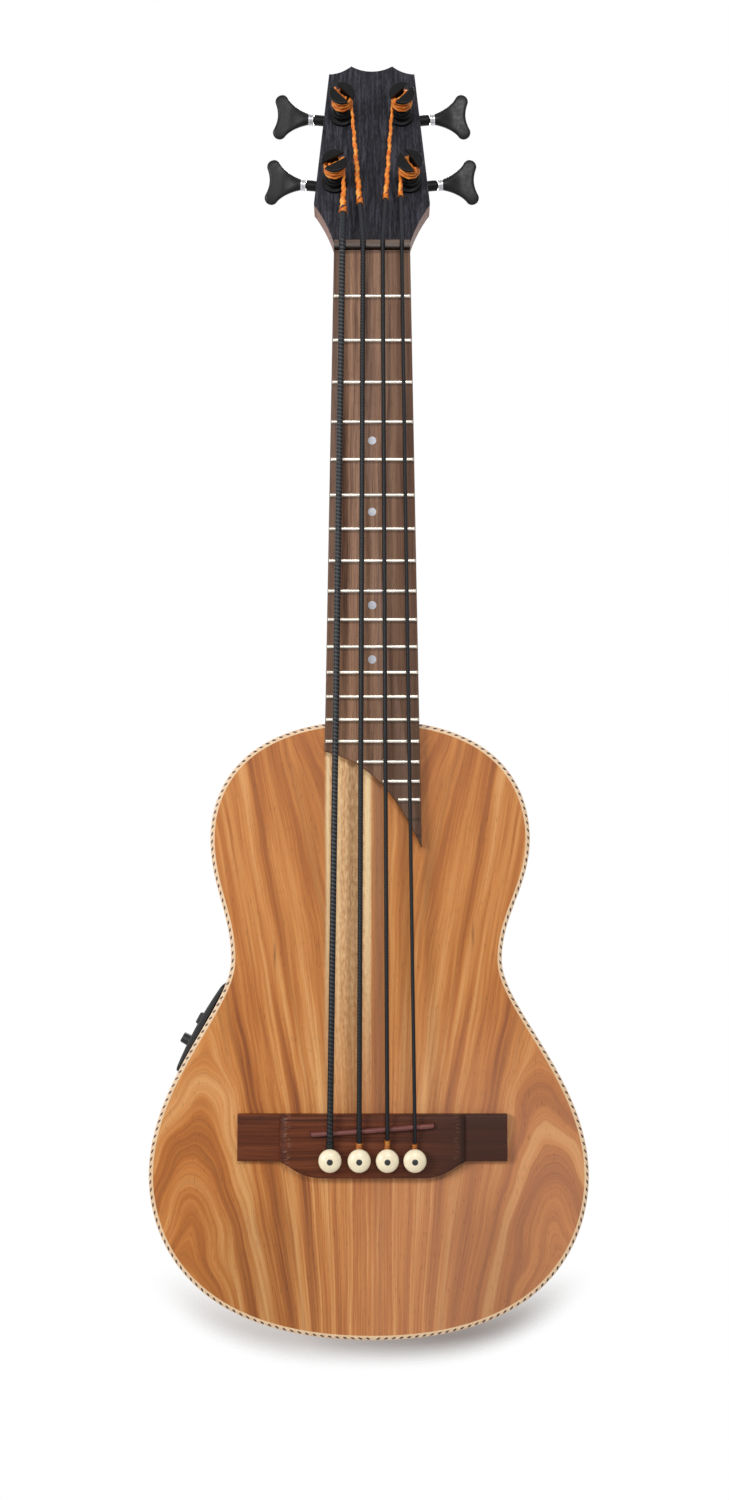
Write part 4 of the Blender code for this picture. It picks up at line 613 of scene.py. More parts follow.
def rope():
    """Twisted dark and pale strands, and a pale line on the inside."""
    p = Paint("rope")
    across, along = p.run()
    x, y, z = p.place()
    offset = p.math("SUBTRACT", across, ROPE_MIDDLE)
    phase = p.math("FRACT", p.math("DIVIDE", along, ROPE_PITCH))
    swing = p.product(p.math("SUBTRACT", phase, 0.5), ROPE_PITCH)
    slant = math.radians(ROPE_SLANT)
    reach = p.sum(p.product(swing, math.cos(slant) / STRAND_HALF_LENGTH),
                  p.product(offset, math.sin(slant) / STRAND_HALF_LENGTH))
    rise = p.sum(p.product(offset, math.cos(slant) / STRAND_HALF_WIDTH),
                 p.product(swing, -math.sin(slant) / STRAND_HALF_WIDTH))
    round_off = p.math("SQRT", p.sum(p.product(reach, reach), p.product(rise, rise)))
    strand = p.level(round_off, 0.75, 1.15, 1.0, 0.0)
    mottle = p.noise(*(p.product(axis, 900.0) for axis in (x, y, z)))
    pale = p.ramp(mottle, (0.38, srgb(222, 186, 150)), (0.62, srgb(240, 214, 182)))
    dark = p.ramp(mottle, (0.38, srgb(58, 38, 28)), (0.62, srgb(98, 66, 46)))
    inner = p.level(across, 0.00045, 0.00075, 1.0, 0.0)
    colour = p.mix(strand, pale, dark)
    colour = p.mix(p.product(inner, 0.6), colour, srgb(244, 202, 150))
    outer = p.level(across, ROPE_WIDTH + 0.0016, ROPE_WIDTH + 0.0019)
    colour = p.mix(outer, colour, srgb(70, 44, 30))
    return p.finish(colour, 0.42, bump=strand, depth=0.00005, specular=0.4)


def silk(name, light=1.0):
    """Orange thread: fine twisted fibres with darker hollows between the strands."""
    p = Paint(name)
    turn, along = p.run()
    twist = p.math("MULTIPLY_ADD", along, 115.0, turn)
    fibres = p.noise(p.product(twist, 26.0), p.product(along, 320.0), 0.0, 3.0)
    lumps = p.noise(p.product(turn, 3.0), p.product(along, 240.0), 7.0, 3.0)
    tone = p.sum(p.product(fibres, 0.5), p.product(lumps, 0.5))
    colour = p.ramp(tone, (0.34, srgb(176, 70, 8)), (0.48, srgb(240, 124, 22)),
                    (0.62, srgb(255, 186, 88)))
    colour = p.shade(colour, light)
    return p.finish(colour, 0.45, bump=tone, depth=0.00030, specular=0.5)


def string_skin(name, twist, contrast):
    """Black polymer with a painted highlight along the twist of its core, which also shapes the
    bump.
    """
    p = Paint(name)
    turn, along = p.run()
    x, y, z = p.place()
    # painted highlight: pale grey glints along each turn of the twist, weaker above the nut and
    # towards the bridge; contrast sets their strength
    wave = p.math("SINE", p.product(p.math("MULTIPLY_ADD", along, twist, turn), 2 * math.pi))
    twist_ridge_and_glint = p.math("POWER", p.math("MULTIPLY_ADD", wave, 0.5, 0.5), 3.0)
    twist_ridge_and_glint = p.product(twist_ridge_and_glint, p.level(z, 0.008, 0.0, 0.15, 1.0), p.level(z, -0.52, -0.36, 0.4, 1.0))
    dust = p.noise(*(p.product(axis, 1200.0) for axis in (x, y, z)))
    base = p.ramp(dust, (0.35, srgb(9, 9, 11)), (0.65, srgb(20, 20, 24)))
    base = p.mix(p.level(z, 0.0, 0.010), base, srgb(40, 42, 46))
    colour = p.mix(p.product(twist_ridge_and_glint, contrast), base, srgb(128, 134, 138))
    return p.finish(colour, 0.36, bump=p.sum(twist_ridge_and_glint, p.product(dust, 0.2)), depth=0.00012,
                    specular=0.22)


def make_materials():
    return {
        "top": top_wood(),
        "back": back_wood(),
        "side": side_wood(),
        "rope": rope(),
        "board": board_wood(),
        "bridge": bridge_wood(),
        "nut": nut_wood("nut_wood", srgb(56, 40, 30), srgb(80, 60, 48), srgb(116, 94, 76),
                        "X", 0.4),
        "saddle": dark_wood("saddle_wood", srgb(92, 48, 44), srgb(122, 68, 62),
                            srgb(150, 92, 84), "X", 0.4),
        "neck": dark_wood("neck_wood", srgb(104, 64, 50), srgb(140, 92, 74), srgb(168, 118, 96),
                          "Z", 0.42),
        "inner": dark_wood("inner_wood", srgb(196, 150, 98), srgb(218, 176, 124),
                           srgb(232, 196, 148), "Z", 0.6),
        "veneer": dark_wood("black_veneer", srgb(27, 27, 31), srgb(48, 48, 54),
                            srgb(76, 75, 84), "Z", 0.55, specular=0.08, fine=3.0),
        "fret": brushed("fret_wire", srgb(206, 198, 186), 0.26),
        "chrome": brushed("bright_metal", srgb(196, 196, 200), 0.24),
        "black": plain("black_metal", srgb(14, 14, 16), 0.40, specular=0.15),
        "key": plain("black_key", srgb(17, 17, 20), 0.34, contrast=0.08, relief=0.000002,
                     specular=0.22),
        # the last number sets the strength of each string's painted highlight
        "string_1": string_skin("twisted_string_1", 420.0, 0.34),
        "string_2": string_skin("twisted_string_2", 520.0, 0.10),
        "string_3": string_skin("plain_string_3", 600.0, 0.04),
        "string_4": string_skin("plain_string_4", 700.0, 0.03),
        "silk": silk("orange_silk"),
        "wrap": silk("dull_silk", 0.55),
        "ivory": plain("pin_ivory", srgb(252, 236, 202), 0.36, contrast=0.05, coat=0.2),
        "eye": plain("pin_eye", srgb(28, 28, 26), 0.3),
        "pearl": plain("pearl_dot", srgb(184, 184, 194), 0.45, mottle_size=900.0, coat=0.1),
        "plastic": plain("black_plastic", srgb(22, 22, 24), 0.46, specular=0.35),
        "mark": plain("white_mark", srgb(220, 220, 216), 0.5),
    }


# Mesh tools

def raw(name, verts, faces, uvs=None):
    """Link a bare mesh object; uvs hold a pair for each corner of each face."""
    mesh = bpy.data.meshes.new(name)
    mesh.from_pydata([tuple(v) for v in verts], [], faces)
    if uvs:
        layer = mesh.uv_layers.new(name="run")
        layer.uv.foreach_set("vector", [value for uv in uvs for value in uv])
    obj = bpy.data.objects.new(name, mesh)
    bpy.context.scene.collection.objects.link(obj)
    return obj


def settle(obj, material, body=ROOT, replaces=(), sharp=35.0):
    """Weld, turn faces outwards, smooth, paint, and fix a piece to its body."""
    mesh = obj.data
    bm = bmesh.new()
    bm.from_mesh(mesh)
    bmesh.ops.remove_doubles(bm, verts=bm.verts, dist=1e-6)
    bmesh.ops.recalc_face_normals(bm, faces=bm.faces)
    bm.to_mesh(mesh)
    bm.free()
    mesh.shade_smooth()
    mesh.set_sharp_from_angle(angle=math.radians(sharp))
    mesh.materials.clear()
    mesh.materials.append(material)
    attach(obj, body)
    if replaces:
        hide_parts(*replaces)
    return obj


def carve(obj, *tools, operation="DIFFERENCE"):
    """Cut or join an object with others, which are used up."""
    for tool in tools:
        modifier = obj.modifiers.new("carve", "BOOLEAN")
        modifier.operation = operation
        modifier.solver = "EXACT"
        modifier.object = tool
        graph = bpy.context.evaluated_depsgraph_get()
        mesh = bpy.data.meshes.new_from_object(obj.evaluated_get(graph))
        obj.modifiers.clear()
        obj.data = mesh
        bpy.data.objects.remove(tool, do_unlink=True)
    return obj


def skin(rings, closed=False):
    """Vertices and faces of equal rings of points skinned in order."""
    size = len(rings[0])
    verts = [p for ring in rings for p in ring]
    faces = []
    count = len(rings)
    for i in range(count if closed else count - 1):
        a = i * size
        b = (i + 1) % count * size
        for j in range(size):
            k = (j + 1) % size
            faces.append((a + j, a + k, b + k, b + j))
    if not closed:
        faces.append(tuple(reversed(range(size))))
        faces.append(tuple(range((count - 1) * size, count * size)))
    return verts, faces


def moved(matrix, shape):
    verts, faces = shape
    return [matrix @ Vector(v) for v in verts], faces


def joined(*shapes):
    """Several shapes in one mesh."""
    verts = []
    faces = []
    for more_verts, more_faces in shapes:
        base = len(verts)
        verts += more_verts
        faces += [tuple(base + i for i in face) for face in more_faces]
    return verts, faces


def turned(profile, steps=48, ring=False):
    """Turn (radius, height) pairs about Z; a ring profile is closed on itself."""
    rings = [[(r * math.cos(2 * math.pi * i / steps), r * math.sin(2 * math.pi * i / steps), h)
              for i in range(steps)] for r, h in profile]
    return skin(rings, closed=ring)


def cylinder(radius, start, end, steps=32):
    """Plain cylinder between two points, for cutting."""
    start = Vector(start)
    axis = Vector(end) - start
    turn = Vector((0.0, 0.0, 1.0)).rotation_difference(axis.normalized()).to_matrix().to_4x4()
    return moved(Matrix.Translation(start) @ turn,
                 turned([(radius, 0.0), (radius, axis.length)], steps))


def box(low, high):
    rings = [[(x, y, z) for x, y in ((low[0], low[1]), (high[0], low[1]), (high[0], high[1]),
                                     (low[0], high[1]))] for z in (low[2], high[2])]
    return skin(rings)


def tube(path, radii, sides=16, shape=None):
    """Round tube along a path, with (share of a turn, length) for each corner.

    shape(angle, length) scales the radius, for twisted or frayed cords.
    """
    points = [Vector(p) for p in path]
    count = len(points)
    normal = None
    rings = []
    lengths = []
    run = 0.0
    for i, point in enumerate(points):
        tangent = (points[min(i + 1, count - 1)] - points[max(i - 1, 0)]).normalized()
        if normal is None:
            normal = tangent.orthogonal().normalized()
        else:
            run += (point - points[i - 1]).length
        lengths.append(run)
        normal = (normal - tangent * normal.dot(tangent)).normalized()
        other = tangent.cross(normal)
        ring = []
        for j in range(sides):
            angle = 2 * math.pi * j / sides
            size = radii[i] * (shape(angle, run) if shape else 1.0)
            ring.append(point + size * (math.cos(angle) * normal + math.sin(angle) * other))
        rings.append(ring)
    verts, faces = skin(rings)
    uvs = []
    for i in range(count - 1):
        for j in range(sides):
            a = j / sides
            b = (j + 1) / sides
            uvs += [(a, lengths[i]), (b, lengths[i]), (b, lengths[i + 1]), (a, lengths[i + 1])]
    uvs += [(0.0, 0.0)] * (2 * sides)
    return verts, faces, uvs


def spaced(path, step):
    """Points at an even step along a path."""
    points = np.array([tuple(p) for p in path])
    lengths = np.concatenate([[0.0], np.cumsum(np.linalg.norm(np.diff(points, axis=0), axis=1))])
    count = max(2, int(round(lengths[-1] / step)) + 1)
    at = np.linspace(0.0, lengths[-1], count)
    return [Vector([float(np.interp(s, lengths, points[:, k])) for k in range(3)]) for s in at]


# Plane shapes

def bezier(start, first, second, end, steps):
    """Points of a cubic curve, without its last one."""
    points = []
    for i in range(steps):
        t = i / steps
        u = 1 - t
        weights = (u ** 3, 3 * u * u * t, 3 * u * t * t, t ** 3)
        points.append(tuple(sum(w * p[k] for w, p in zip(weights, (start, first, second, end)))
                            for k in range(2)))
    return points


def rounded_rectangle(low, high, radius, steps=8):
    """Corners low and high, rounded, counter-clockwise."""
    centres = ((high[0] - radius, high[1] - radius, 0), (low[0] + radius, high[1] - radius, 1),
               (low[0] + radius, low[1] + radius, 2), (high[0] - radius, low[1] + radius, 3))
    points = []
    for x, y, quarter in centres:
        for i in range(steps + 1):
            angle = math.pi / 2 * (quarter + i / steps)
            points.append((x + radius * math.cos(angle), y + radius * math.sin(angle)))
    return points


def shrunk(loop, inset):
    """A counter-clockwise loop moved inwards."""
    points = np.array(loop)
    along = np.roll(points, -1, axis=0) - np.roll(points, 1, axis=0)
    along /= np.linalg.norm(along, axis=1)[:, None]
    inwards = np.stack([-along[:, 1], along[:, 0]], axis=1)
    return [tuple(p) for p in points + inset * inwards]


def mirrored(half):
    """Complete a right half outline; points on the centre line are kept once."""
    return half + [(-x, y) for x, y in reversed(half) if x > 1e-9]


def half_outline(widths):
    """One side of the body from the top centre to the tail centre."""
    upper, waist, lower = widths
    f = FULLNESS
    top, bout_1, middle, bout_2, tail = (-BODY_TOP, -UPPER_BOUT_AT, -WAIST_AT,
                                         -LOWER_BOUT_AT, -BODY_END)
    spans = (
        ((0.0, top), (f[0] * upper, top), (upper, bout_1 - f[1] * (bout_1 - top)),
         (upper, bout_1)),
        ((upper, bout_1), (upper, bout_1 + f[2] * (middle - bout_1)),
         (waist, middle - f[3] * (middle - bout_1)), (waist, middle)),
        ((waist, middle), (waist, middle + f[4] * (bout_2 - middle)),
         (lower, bout_2 - f[5] * (bout_2 - middle)), (lower, bout_2)),
        ((lower, bout_2), (lower, bout_2 + f[6] * (tail - bout_2)),
         (f[7] * lower, tail), (0.0, tail)),
    )
    points = []
    for span in spans:
        points += bezier(*span, OUTLINE_STEPS)
    return points + [(0.0, tail)]


def body_outline(inset=0.0):
    """The body's whole outline, clockwise, moved inwards by inset."""
    bass = half_outline(BASS_HALF_WIDTHS)
    loop = half_outline(TREBLE_HALF_WIDTHS) + [(-x, z) for x, z in reversed(bass[1:-1])]
    return shrunk(loop, -inset)


def outline_place(side, below_nut):
    """Point and outward normal of the body's edge on one side, at a height."""
    widths = TREBLE_HALF_WIDTHS if side > 0 else BASS_HALF_WIDTHS
    half = np.array(half_outline(widths))
    step = 0.004
    x, x_up, x_down = (float(np.interp(v, -half[:, 1], half[:, 0]))
                       for v in (below_nut, below_nut - step, below_nut + step))
    normal = Vector((side * 1.0, 0.0, -(x_up - x_down) / (2 * step))).normalized()
    return Vector((side * x, 0.0, -below_nut)), normal


# Body

def plate(section):
    """Solid plate: rings of the body's outline at each (inset, depth)."""
    return skin([[(x, TOP_Y + depth, z) for x, z in body_outline(inset)]
                 for inset, depth in section])


def rim_rings(section):
    """Rings round the body of a section of (inset, depth behind the top's face)."""
    loops = [body_outline(inset) for inset, _ in section]
    return [[(loop[i][0], TOP_Y + depth, loop[i][1]) for loop, (_, depth)
             in zip(loops, section)] for i in range(len(loops[0]))]


def make_rope(mats):
    """Binding with its texture laid along each half of the outline, from the top."""
    proud = 0.00005
    section = ((ROPE_WIDTH, -proud), (0.0005, -proud), (0.0001, 0.0002), (0.0, 0.0006),
               (0.0, BINDING_DEPTH), (ROPE_WIDTH, BINDING_DEPTH))
    across = [0.0]
    for (a, b), (c, d) in zip(section, section[1:]):
        across.append(across[-1] + math.hypot(c - a, d - b))
    across.append(2 * across[-1])
    rings = rim_rings(section)
    verts, faces = skin(rings, closed=True)
    edge = np.array(body_outline())
    lengths = np.concatenate([[0.0], np.cumsum(np.linalg.norm(
        np.roll(edge, -1, axis=0) - edge, axis=1))])
    total = lengths[-1]
    half = 4 * OUTLINE_STEPS
    uvs = []
    for i in range(len(rings)):
        a, b = lengths[i], lengths[i + 1]
        if i >= half:
            a, b = total - a, total - b
        for j in range(len(section)):
            uvs += [(across[j], a), (across[j + 1], a), (across[j + 1], b), (across[j], b)]
    obj = raw("rope_binding", verts, faces, uvs)
    settle(obj, mats["rope"], replaces=("top_binding",))


def make_sides(mats, panel_frame):
    ledge = BINDING_WIDTH
    front = PLATE_THICKNESS + GAP
    back = BODY_DEPTH - front
    wall = SIDE_THICKNESS
    section = ((0.0, BINDING_DEPTH), (ledge, BINDING_DEPTH), (ledge, front), (wall, front),
               (wall, back), (0.0, back))
    sides = raw("sides_rim", *skin(rim_rings(section), closed=True))
    half_x = BOX_LENGTH / 2 + GAP
    half_y = BOX_WIDTH / 2 + GAP
    window = raw("window", *moved(panel_frame, box((-half_x, -half_y, -0.03),
                                                   (half_x, half_y, 0.02))))
    y = TOP_Y + BODY_DEPTH / 2
    hole = raw("hole", *cylinder(JACK_BARREL_RADIUS + GAP, (0.0, y, -BODY_END - 0.01),
                                 (0.0, y, -BODY_END + 0.02)))
    settle(carve(sides, window, hole), mats["side"], replaces=("sides",))


def make_body(mats, panel_frame):
    settle(raw("top", *plate(((0.0024, 0.0025), (0.0024, 0.0)))), mats["top"],
           replaces=("top_plate",))
    depth = BODY_DEPTH
    back = plate(((0.0, depth - 0.0025), (0.0, depth - 0.0015), (0.0002, depth - 0.0009),
                  (0.0006, depth - 0.0004), (0.0015, depth - 0.0001), (0.0022, depth)))
    settle(raw("back", *back), mats["back"], replaces=("back_plate",))
    make_rope(mats)
    make_sides(mats, panel_frame)
    for node in ("neck_block", "tail_block"):
        set_material(node, mats["neck"])
    for node in ("top_bracing", "back_bracing"):
        set_material(node, mats["inner"])


def set_material(node, material):
    """Give a shown CAD node a better material."""
    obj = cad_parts[node]
    obj.data.materials.clear()
    obj.data.materials.append(material)


# Neck, headstock and fretboard

def board_half_width(z):
    growth = (BOARD_WIDTH_AT_12 - BOARD_NUT_WIDTH) / 2
    return BOARD_NUT_WIDTH / 2 + growth * (-z / (SCALE_LENGTH / 2))


def neck_ring(z):
    """The neck's section at a height: flat in front, round behind."""
    below = -z
    share = min(max(below / BODY_TOP, 0.0), 1.0)
    depth = NECK_WOOD_AT_NUT + (NECK_WOOD_AT_HEEL - NECK_WOOD_AT_NUT) * share
    bend = min(max((below - HEEL_START) / (BODY_TOP - HEEL_START), 0.0), 1.0)
    depth += (HEEL_DEPTH - NECK_WOOD_AT_HEEL) * (1 - math.sqrt(1 - bend * bend))
    power = 2.3 - 0.4 * bend
    half = board_half_width(z)
    ring = []
    steps = 48
    for i in range(steps + 1):
        angle = math.pi * i / steps
        across = math.copysign(abs(math.cos(angle)) ** (2 / power), math.cos(angle))
        ring.append((half * across, TOP_Y + depth * math.sin(angle) ** (2 / power), z))
    return ring


def head_half_outline():
    """Right half of the headstock's outline in its own plane, top centre to nut."""
    top = HEAD_LENGTH
    corner = top - HEAD_CORNER_DROP
    peak = (HEAD_PEAK_HALF, top)
    rest = HEAD_TOP_HALF - HEAD_PEAK_HALF
    points = bezier((0.0, top - HEAD_DIP), (0.45 * HEAD_PEAK_HALF, top - HEAD_DIP),
                    (0.75 * HEAD_PEAK_HALF, top - 0.5 * HEAD_DIP), peak, 16)
    points += bezier(peak, (HEAD_PEAK_HALF + 0.3 * rest, top - 0.6 * HEAD_CORNER_DROP),
                     (HEAD_PEAK_HALF + 0.6 * rest, top - 0.95 * HEAD_CORNER_DROP),
                     (HEAD_TOP_HALF, corner), 16)
    foot = BOARD_NUT_WIDTH / 2
    lean = (HEAD_WIDE_HALF - HEAD_TOP_HALF) / (corner - HEAD_WIDE_AT)
    reach = HEAD_CORNER_REACH
    upper = (HEAD_WIDE_HALF - reach * lean, HEAD_WIDE_AT + reach)
    shoulder = (HEAD_WIDE_HALF - 0.8 * reach, HEAD_WIDE_AT - reach)
    wide = (HEAD_WIDE_HALF, HEAD_WIDE_AT)
    handle = HEAD_SHOULDER_REACH
    points.append((HEAD_TOP_HALF, corner))
    points += bezier(upper, wide, wide, shoulder, 10)
    points += bezier(shoulder, (shoulder[0] - 0.62 * handle, shoulder[1] - handle),
                     (foot + 0.27 * handle, handle), (foot, 0.0), 30)
    return points + [(foot, 0.0)]


def head_frame():
    """Frame of the headstock's face: X across, Y up the face, Z out of it."""
    return (Matrix.Translation((0.0, FACE_Y + HEAD_FACE_DROP, HEAD_START))
            @ Matrix.Rotation(math.pi / 2 - HEAD_TILT, 4, "X"))


def machine_frame(name):
    """Frame of a post: X out along its key, Z out of the headstock's face."""
    side, up, across = MACHINES[name]
    outward = Vector((side * math.cos(MACHINE_TURN), math.sin(MACHINE_TURN), 0.0))
    normal = Vector((0.0, 0.0, 1.0))
    turn = Matrix((outward, normal.cross(outward), normal)).transposed().to_4x4()
    return head_frame() @ Matrix.Translation((side * across, up, 0.0)) @ turn


def slab(outline, levels, matrix):
    """Solid from an outline (counter-clockwise) shrunk by each inset at each height."""
    rings = [[(x, y, height) for x, y in shrunk(outline, inset)] for inset, height in levels]
    return moved(matrix, skin(rings))


def post_holes():
    """Drills through the headstock for the four barrels."""
    reach = 2 * HEAD_THICKNESS
    return [raw("drill", *moved(machine_frame(name), cylinder(
        BARREL_RADIUS + GAP, (0.0, 0.0, -reach), (0.0, 0.0, reach)))) for name in MACHINES]


def make_neck(mats):
    shaft = list(np.linspace(HEAD_START, -HEEL_START, 24))
    run = BODY_TOP - HEEL_START
    heel = [-HEEL_START - run * math.sin(math.pi / 2 * i / 28) for i in range(1, 29)]
    neck = raw("neck_wood", *skin([neck_ring(z) for z in shaft + heel]))
    outline = list(reversed(mirrored(head_half_outline())))
    back = -HEAD_THICKNESS
    edge = 0.0012
    levels = [(edge * (1 - math.sin(a)), back + edge * (1 - math.cos(a)))
              for a in np.linspace(0.0, math.pi / 2, 7)]
    levels.append((0.0, -VENEER_THICKNESS))
    core = raw("core", *slab(outline, levels, head_frame()))
    carve(neck, core, operation="UNION")
    carve(neck, *post_holes())
    settle(neck, mats["neck"], replaces=("neck",))
    veneer_levels = [(0.0, -VENEER_THICKNESS), (0.0, -0.0005), (0.00015, -0.00015),
                     (0.0005, 0.0)]
    veneer = raw("veneer", *slab(outline, veneer_levels, head_frame()))
    settle(carve(veneer, *post_holes()), mats["veneer"],
           replaces=("headstock_veneer",))


def swoosh():
    """The fretboard's curved end, from its bass corner to its treble tip."""
    bass = (-board_half_width(-BOARD_BASS_END), -BOARD_BASS_END)
    tip = (board_half_width(-BOARD_TIP), -BOARD_TIP)
    drop = BOARD_TIP - BOARD_BASS_END
    return bezier(bass, (bass[0] + 0.0260, bass[1] - 0.11 * drop),
                  (tip[0] - 0.0150, tip[1] + 0.57 * drop), tip, 48) + [tip]


def fret_place(number):
    return -SCALE_LENGTH * (1 - 2 ** (-number / 12))


def make_fretboard(mats):
    top = -GAP
    outline = [(board_half_width(top), top), (-board_half_width(top), top)] + swoosh()
    stand = Matrix.Translation((0.0, FACE_Y, 0.0)) @ Matrix.Rotation(math.pi / 2, 4, "X")
    levels = [(0.0, -FRETBOARD_THICKNESS), (0.0, -0.0006), (0.0002, -0.0002), (0.0005, 0.0)]
    board = raw("board", *slab(outline, levels, stand))
    settle(board, mats["board"], replaces=("fretboard",), sharp=50.0)
    for number in range(1, FRET_COUNT + 1):
        make_fret(number, mats)
    for number, at in enumerate(DOT_FRETS):
        z = (fret_place(at - 0.5) + fret_place(at + 0.5)) / 2
        dot = turned([(0.0, 0.00006), (0.8 * DOT_RADIUS, 0.00005), (DOT_RADIUS, 0.00002),
                      (DOT_RADIUS, -0.0010), (0.0, -0.0010)])
        obj = raw("dot_%d" % (number + 1),
                  *moved(Matrix.Translation((0.0, FACE_Y, z))
                         @ Matrix.Rotation(math.pi / 2, 4, "X"), dot))
        settle(obj, mats["pearl"])


def make_fret(number, mats):
    """Half-round fret wire with rounded ends, cut short at the board's curved end."""
    z = fret_place(number)
    right = board_half_width(z) - 0.0004
    left = -right
    if z < -BOARD_BASS_END:
        curve = np.array(swoosh())
        left = float(np.interp(-z, -curve[:, 1], curve[:, 0])) + 0.0020
    rings = []
    ends = [(0.0, 0.45), (0.0002, 0.75), (0.0006, 0.95), (0.0012, 1.0)]
    places = [(left + step, size) for step, size in ends]
    places += [(right - step, size) for step, size in reversed(ends)]
    for x, size in places:
        half = FRET_CROWN_WIDTH / 2
        arc = [(half * math.cos(a), -size * FRET_CROWN_HEIGHT * math.sin(a))
               for a in np.linspace(0.0, math.pi, 15)]
        rings.append([(x, FACE_Y + depth, z + up) for up, depth in
                      [(half, 0.0016)] + arc + [(-half, 0.0016)]])
    settle(raw("fret_wire_%02d" % number, *skin(rings)), mats["fret"],
           replaces=("fret_%02d" % number,))


def string_places(span):
    """Centres of the strings across, with equal air between neighbours."""
    radii = [d / 2 for d in STRING_DIAMETERS]
    filled = sum(a + b for a, b in zip(radii, radii[1:]))
    air = (span - filled) / (len(radii) - 1)
    places = [-span / 2]
    for a, b in zip(radii, radii[1:]):
        places.append(places[-1] + a + air + b)
    return places


def make_nut(mats):
    """Nut with a rounded top and a round-bottomed slot for each string."""
    half = BOARD_NUT_WIDTH / 2
    face = FACE_Y - NUT_RISE
    back = TOP_Y - GAP
    corner = 0.0012
    section = [(0.0, back), (0.0, face + corner)]
    section += [(corner * (1 - math.cos(a)), face + corner * (1 - math.sin(a)))
                for a in np.linspace(0.0, math.pi / 2, 6)[1:]]
    section += [(NUT_LENGTH - 0.6 * corner * (1 - math.sin(a)),
                 face + 0.6 * corner * (1 - math.cos(a)))
                for a in np.linspace(0.0, math.pi / 2, 6)]
    section.append((NUT_LENGTH, back))
    rings = [[(x, y, z) for z, y in section] for x in (-half, half)]
    nut = raw("nut_bar", *skin(rings))
    cutters = []
    for x, diameter in zip(string_places(STRING_SPAN_NUT), STRING_DIAMETERS):
        radius = diameter / 2 + 0.00025
        y = FACE_Y - STRING_RISE_NUT - diameter / 2
        groove = [(radius * math.cos(a), y - radius * math.sin(a))
                  for a in np.linspace(-math.pi, 0.0, 17)]
        groove = [(radius, y - 0.01)] + list(reversed(groove)) + [(-radius, y - 0.01)]
        cutters.append(raw("groove", *skin([[(x + across, depth, z) for across, depth in groove]
                                            for z in (-0.01, NUT_LENGTH + 0.01)])))
    settle(carve(nut, *cutters), mats["nut"], replaces=("nut",))


# Bridge, saddle and pins

def bridge_edges(x):
    """Lower edge and face height of the bridge at a distance from its middle."""
    upper = -SADDLE_AT + BRIDGE_TOP_OFFSET
    lower = upper - BRIDGE_WIDTH
    belly = lower - BELLY_DROP
    run = BELLY_FOOT_HALF - BELLY_HALF
    curve = np.array(bezier((BELLY_FOOT_HALF, lower), (BELLY_FOOT_HALF - 0.29 * run, lower),
                            (BELLY_HALF + 0.57 * run, belly), (BELLY_HALF, belly), 40)
                     + [(BELLY_HALF, belly)])[::-1]
    edge = float(np.interp(abs(x), curve[:, 0], curve[:, 1]))
    share = min(max((abs(x) - SCOOP_START) / (WING_START - SCOOP_START), 0.0), 1.0)
    drop = (BRIDGE_HEIGHT - WING_HEIGHT) * (1 - math.sqrt(1 - share * share)) \
        if share < 1.0 else BRIDGE_HEIGHT - WING_HEIGHT
    return upper, edge, BRIDGE_HEIGHT - drop


def bridge_section(x):
    """Ring of the bridge's section: chamfered edges over straight walls."""
    upper, lower, height = bridge_edges(x)
    centre = height > WING_HEIGHT + 0.0001
    back = TOP_Y - GAP
    face = back - height
    wide = 0.0020 if centre else 0.0012
    deep = 0.0011 if centre else 0.0007
    ring = [(upper, back), (upper, face + deep)]
    ring += [(upper - wide * t, face + deep * (1 - t) ** 1.6) for t in (0.25, 0.5, 0.75, 1.0)]
    ring += [(upper + (lower - upper) * t, face) for t in (0.25, 0.5, 0.75)]
    ring += [(lower + wide * t, face + deep * (1 - t) ** 1.6) for t in (1.0, 0.75, 0.5, 0.25)]
    ring += [(lower, face + deep), (lower, back)]
    return [(x, y, z) for z, y in ring]


def make_bridge(mats):
    end = BRIDGE_LENGTH / 2
    half = sorted(set([0.0, 0.010, 0.020, 0.0300]
                      + [round(v, 5) for v in np.linspace(BELLY_HALF, BELLY_FOOT_HALF, 47)]
                      + [WING_START, 0.062, 0.070, end - 0.0004, end]))
    stations = [-x for x in reversed(half[1:])] + half
    bridge = raw("bridge_block", *skin([bridge_section(x) for x in stations]))
    slot_half = SADDLE_LENGTH / 2 + GAP
    width_half = SADDLE_WIDTH / 2 + 0.0001
    slot = raw("slot", *moved(saddle_frame(), box((-slot_half, -0.01, -width_half),
                                                  (slot_half, SADDLE_SEAT, width_half))))
    pin_z = -SADDLE_AT - PIN_OFFSET
    holes = []
    for x, diameter in zip(string_places(STRING_SPAN_SADDLE), STRING_DIAMETERS):
        exit_z = pin_z + PIN_SHANK_RADIUS + GAP + diameter / 2
        for radius, z in ((PIN_SHANK_RADIUS + GAP, pin_z), (diameter / 2 + GAP, exit_z)):
            holes.append(raw("hole", *cylinder(radius, (x, BRIDGE_FACE_Y - 0.01, z),
                                               (x, TOP_Y + 0.01, z))))
    settle(carve(bridge, slot, *holes), mats["bridge"],
           replaces=("bridge",), sharp=28.0)


def saddle_frame():
    """Frame of the saddle: its middle on the bridge's face, slanted for the bass side."""
    return (Matrix.Translation((0.0, BRIDGE_FACE_Y, -SADDLE_AT))
            @ Matrix.Rotation(-SADDLE_SLANT, 4, "Y"))


def saddle_z(x):
    return -SADDLE_AT + x * math.tan(SADDLE_SLANT)


